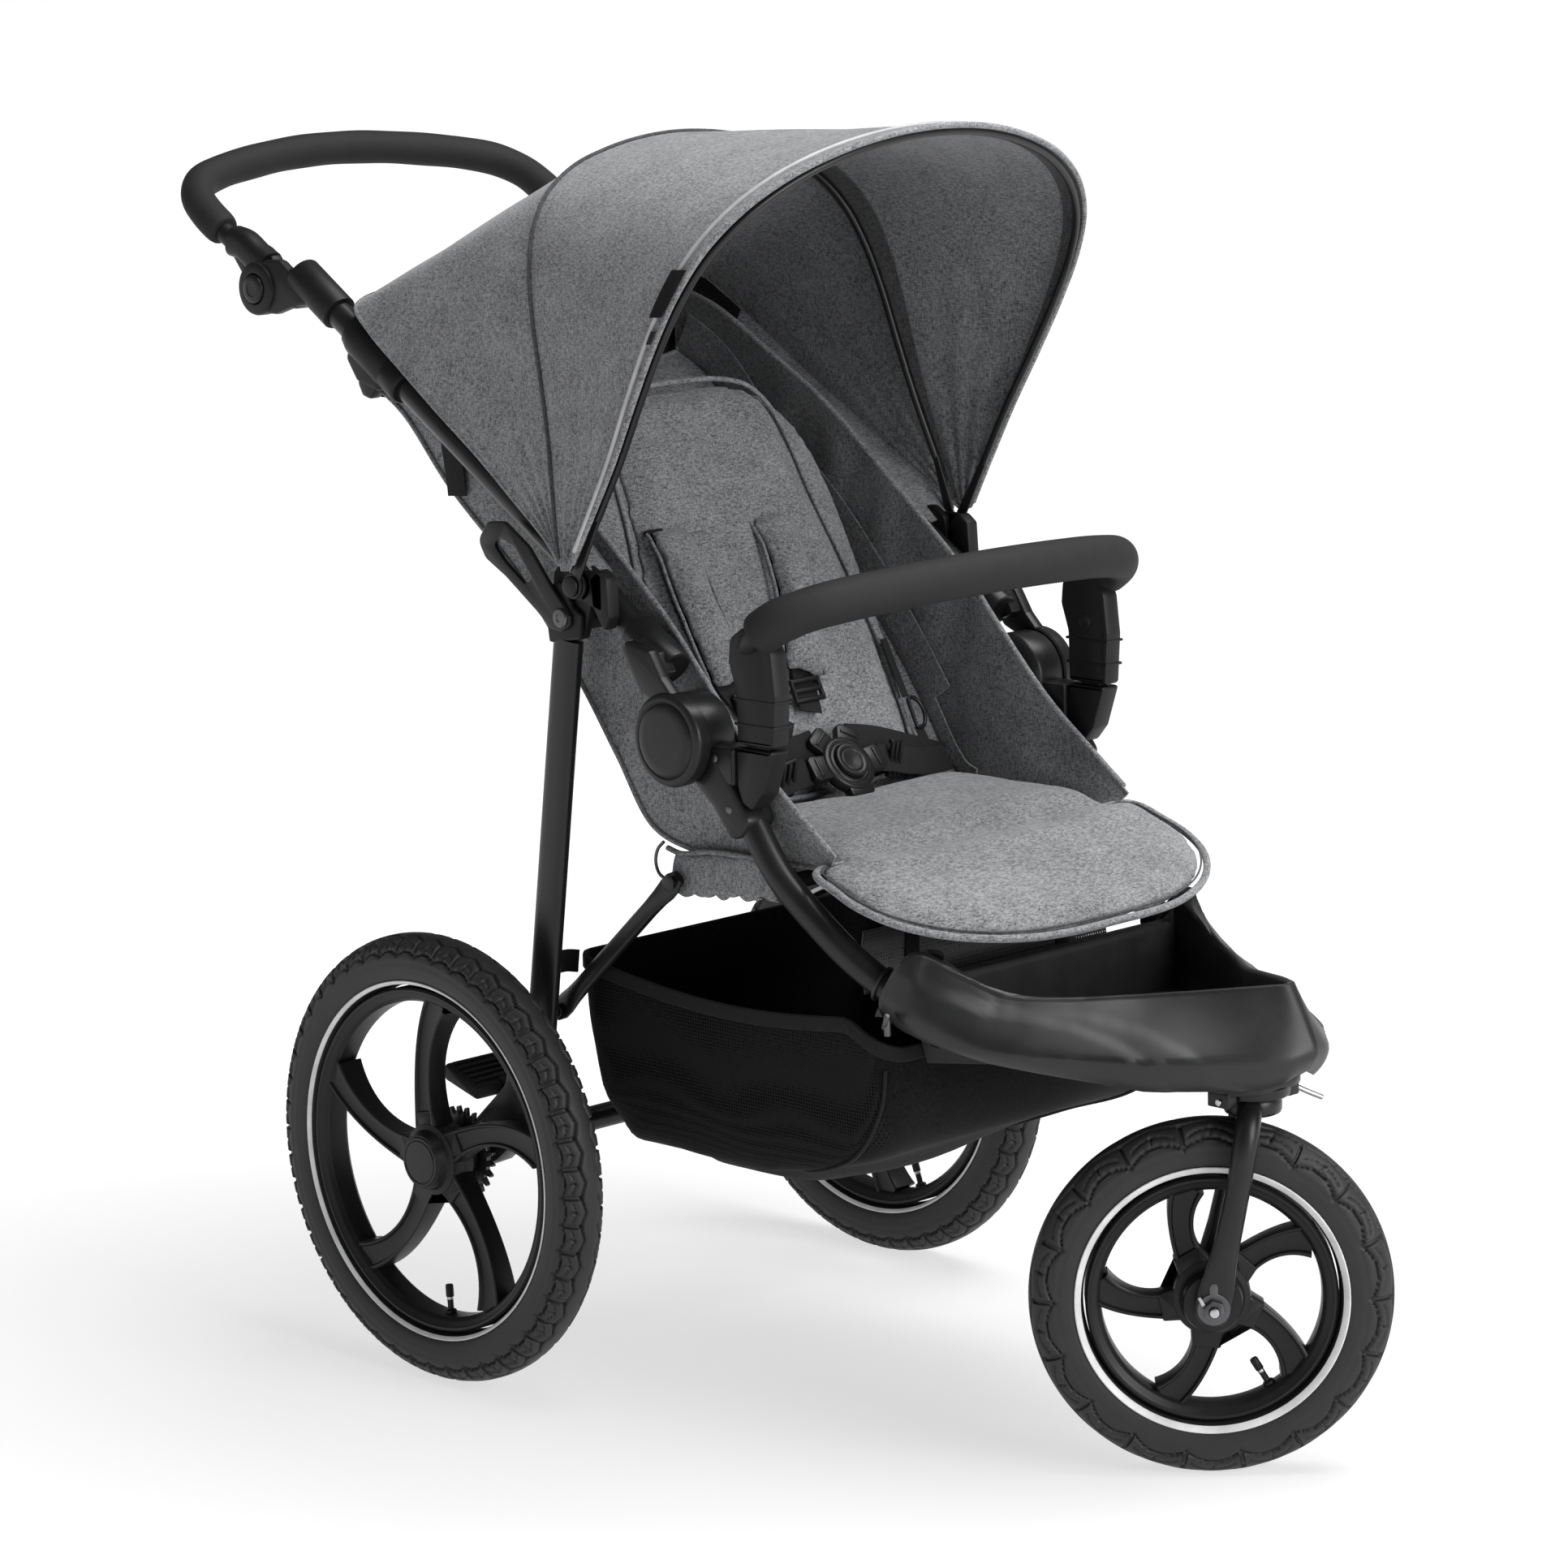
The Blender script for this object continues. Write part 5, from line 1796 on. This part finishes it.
for sd, sg in (("left", 1), ("right", -1)):
    X = lambda x: 6 + sg * x
    p1 = spline([(X(44), -229, 536), (X(60), -226, 533), (X(84), -222, 527), (X(118), -214, 521), (X(146), -208, 519), (X(154), -205, 519)], step=3)
    piece(f"waist_strap_{sd}", sweep(p1, rrect(1.5, 25, 0.6, 3), up=(0, -0.8, 0.35)), "web", "chassis", angle=50)
    p2 = spline([(X(20), -213, 556), (X(60), -208, 548), (X(110), -203, 533), (X(148), -200, 521), (X(154.5), -202, 519)], step=3)
    piece(f"waist_strap_back_{sd}", sweep(p2, rrect(1.5, 25, 0.6, 3), up=(0, -0.8, 0.35)), "web", "chassis", angle=50)
    # adjuster
    fr_ = []
    for x in (60, 66, 72):
        fr_.append(rod3((X(x), -228.0 + (x - 60) * 0.13 - 2.4, 533.5 - (x - 60) * 0.2 + 16 * 0.9), (X(x), -221.5 + (x - 60) * 0.13 - 2.4, 532.5 - (x - 60) * 0.2 - 15), 2.1, 16, 0.8))
    for dz in (15, -15.5):
        fr_.append(rod3((X(58), -225.5 - 3 * (1 if dz > 0 else -1), 533.5 + dz), (X(74), -223.5 - 3 * (1 if dz > 0 else -1), 530.5 + dz), 2.2, 16, 0.8))
    piece(f"strap_adjuster_{sd}", merge(*fr_), "plastic", "chassis", angle=40)
# sliders on the shoulder straps
for nm, (u0, v0) in (("left", (8, 82)), ("right", (-62, 78))):
    fr_ = []
    for dv in (-9, 0, 9):
        a_, b_ = bk(u0 - 16, v0 + dv, 17.5), bk(u0 + 16, v0 + dv, 17.5)
        fr_.append(rod3(a_, b_, 2.4, 16, 0.8))
    for du in (-16, 16):
        fr_.append(rod3(bk(u0 + du, v0 - 11, 17.0), bk(u0 + du, v0 + 11, 17.0), 2.4, 16, 0.8))
    piece(f"shoulder_slider_{nm}", merge(*fr_), "plastic", "backrest", angle=40)
# side rings on cords at the pad's edges
for sd, sg in (("left", 1), ("right", -1)):
    ang = np.arange(48) / 48 * 2 * math.pi
    ru, rv = 10 * np.cos(ang), 14 * np.sin(ang)
    ru = np.where(ru < -4.5, -4.5, ru)
    P_ = bk(sg * (138 + ru), 46 + rv, 6.0)
    piece(f"side_ring_{sd}", sweep(P_, circle(1.9, 12), closed=True), "satin", "backrest", angle=60)
    c_ = spline([(sg * 131.5, 118, 0), (sg * 132.5, 92, 0), (sg * 134, 62, 0)], n=20)[:, :2]
    piece(f"side_cord_{sd}", sweep(bk(c_[:, 0], c_[:, 1], np.full(20, 4.0)), rrect(1.4, 8, 0.5, 3), up=(0, nb_[0], nb_[1])), "web", "backrest", angle=50)
    c_ = spline([(sg * 137, 34, 0), (sg * 139, 20, 0), (sg * 140, 8, 0)], n=16)[:, :2]
    piece(f"side_tab_{sd}", sweep(bk(c_[:, 0], c_[:, 1], np.full(16, 4.0)), rrect(1.4, 10, 0.5, 3), up=(0, nb_[0], nb_[1])), "web", "backrest", angle=50)
    # recline strap on the outer side of the seat, from the tube down to the back
    rs_ = spline([(sg * 186.5, 62, 836), (sg * 190.4, 54, 818), (sg * 190.8, 50, 800), (sg * 190.6, 48, 785), (sg * 190.2, 47, 772)], step=3)
    piece(f"recline_strap_{sd}", sweep(rs_, rrect(1.5, 25, 0.6, 3), up=(1, 0, 0)), "web", "push_frame", angle=50)

# ---------------------------------- basket
def b_ring(zf, w, y0, y1, r, n=26):
    P_ = []
    for sx, sy, a0 in ((1, 1, 0), (-1, 1, 90), (-1, -1, 180), (1, -1, 270)):
        for i in range(n + 1):
            a = (a0 + 90 * i / n) * D2R
            P_.append((sx * (w - r) + r * math.cos(a), (y1 - r if sy > 0 else y0 + r) + r * math.sin(a)))
    P_ = np.array(P_)
    q = np.vstack([P_, P_[:1]])
    d = np.r_[0, np.cumsum(np.linalg.norm(np.diff(q, axis=0), axis=1))]
    s = np.linspace(0, d[-1], 160, endpoint=False)
    P_ = np.c_[np.interp(s, d, q[:, 0]), np.interp(s, d, q[:, 1])]
    return np.c_[P_, [zf(x, y) for x, y in P_]]


top_z = lambda x, y: 380 - 18 * math.sin(min(max((y + 88) / -382, 0), 1) * math.pi) - ((y + 420) * -0.6 if y < -420 else 0)
lv = [b_ring(lambda x, y: 170 + 0.0017 * x * x, 92, -246, -132, 40), b_ring(lambda x, y: 175 + 0.0017 * x * x + max(0, -260 - y) * 0.32, 134, -318, -114, 40),
      b_ring(lambda x, y: 217 + max(0, -300 - y) * 0.16, 165, -380, -100, 40), b_ring(lambda x, y: 254, 182, -440, -90, 36), b_ring(lambda x, y: 300, 187, -466, -85, 30), b_ring(top_z, 189, -468, -83, 24)]
lv = np.array(lv)
lvs = np.array([spline(lv[:, j], n=34) for j in range(lv.shape[1])]).transpose(1, 0, 2)
ctr = lvs[0].mean(0)
inner_rows = [ctr + (lvs[0] - ctr) * k + [0, 0, -1.5 * (1 - k)] for k in (0.04, 0.2, 0.4, 0.6, 0.8)]
Gk = np.vstack([np.array(inner_rows), lvs])
n_, m_, _ = Gk.shape
I, J = np.meshgrid(np.linspace(0, 1, n_), np.arange(m_) / m_ * 2 * math.pi, indexing="ij")


def ring_normals(G):
    du = np.gradient(G, axis=0)
    dv = np.roll(G, -1, 1) - np.roll(G, 1, 1)
    N = np.cross(du, dv)
    N /= np.maximum(np.linalg.norm(N, axis=2)[:, :, None], 1e-9)
    if (N[-5] * (G[-5] - G[-5].mean(0))).sum() < 0:
        N = -N
    return N


Nk = ring_normals(Gk)
sag = 1.8 * wob(I * 6, np.cos(J) * 3 + np.sin(J) * 2, 1, 31) * np.sin(np.pi * I)
Gk = Gk + Nk * (sag - 1.6)[:, :, None]
Nk = ring_normals(Gk)
inn = Gk - Nk * 1.8
V_ = np.vstack([Gk.reshape(-1, 3), inn.reshape(-1, 3)])
F_ = grid_faces(n_, m_, wrap=True)
nf = len(F_)
off_ = n_ * m_
F_ += [tuple(reversed([a + off_ for a in f])) for f in grid_faces(n_, m_, wrap=True)]
for j in range(m_):
    a, b = (n_ - 1) * m_ + j, (n_ - 1) * m_ + (j + 1) % m_
    F_.append((a, b, b + off_, a + off_))
F_.append(tuple(range(m_)))
F_.append(tuple(off_ + j for j in range(m_))[::-1])
ob = mk("storage_basket", V_, F_, [M["blackcloth"], M["net"]], 60)
for p in ob.data.polygons:
    c = np.array(p.center) / 0.001 - [0, S, 0]
    nrm = p.normal
    if abs(c[0]) > 118 and -452 < c[1] < -98 and c[2] > 172 + 0.0 * c[1] and abs(nrm.x) > 0.42:
        p.material_index = 1
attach(ob, "chassis")
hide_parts("storage_basket")
rim_p = Gk[-1] + Nk[-1] * 0.6
piece("basket_rim_binding", sweep(rim_p + [0, 0, -5], rrect(3.4, 13, 1.4, 4), up=Nk[-1] * [1, 1, 0], closed=True), "web", "chassis", angle=50)
# seams where the net meets the cloth
for sd, sg in (("left", 1), ("right", -1)):
    for k, rows in enumerate(((10, n_ - 2),)):
        js = [j for j in range(m_) if Gk[n_ - 3, j, 0] * sg > 0 and abs(Gk[n_ - 3, j, 1] + 452) < 9]
        if js:
            j = js[len(js) // 2]
            seam_p = np.array([Gk[i, j] + Nk[i, j] * 1.2 for i in range(rows[0], rows[1])])
            piece(f"basket_seam_{sd}", sweep(spline(seam_p, step=5), circle(1.6, 10), dome=1), "web", "chassis", angle=60)
    tab = sweep(spline([(sg * 187, -90, 374), (sg * 196, -84, 375), (sg * 205, -81, 374), (sg * 213, -80, 373)], step=2), rrect(1.6, 20, 0.6, 3), up=(0, 1, 0))
    piece(f"basket_tab_{sd}", tab, "web", "chassis", angle=50)
    sn = merge(rod3((sg * 190, -470, 366), (sg * 190, -470, 384), 3, 16), rod3((sg * 190, -466, 372), (sg * 198, -478, 386), 2.4, 16))
    piece(f"basket_clip_{sd}", sn, "darksteel", "chassis", angle=40)

sheet_of(c1)
sheet_of(c2)
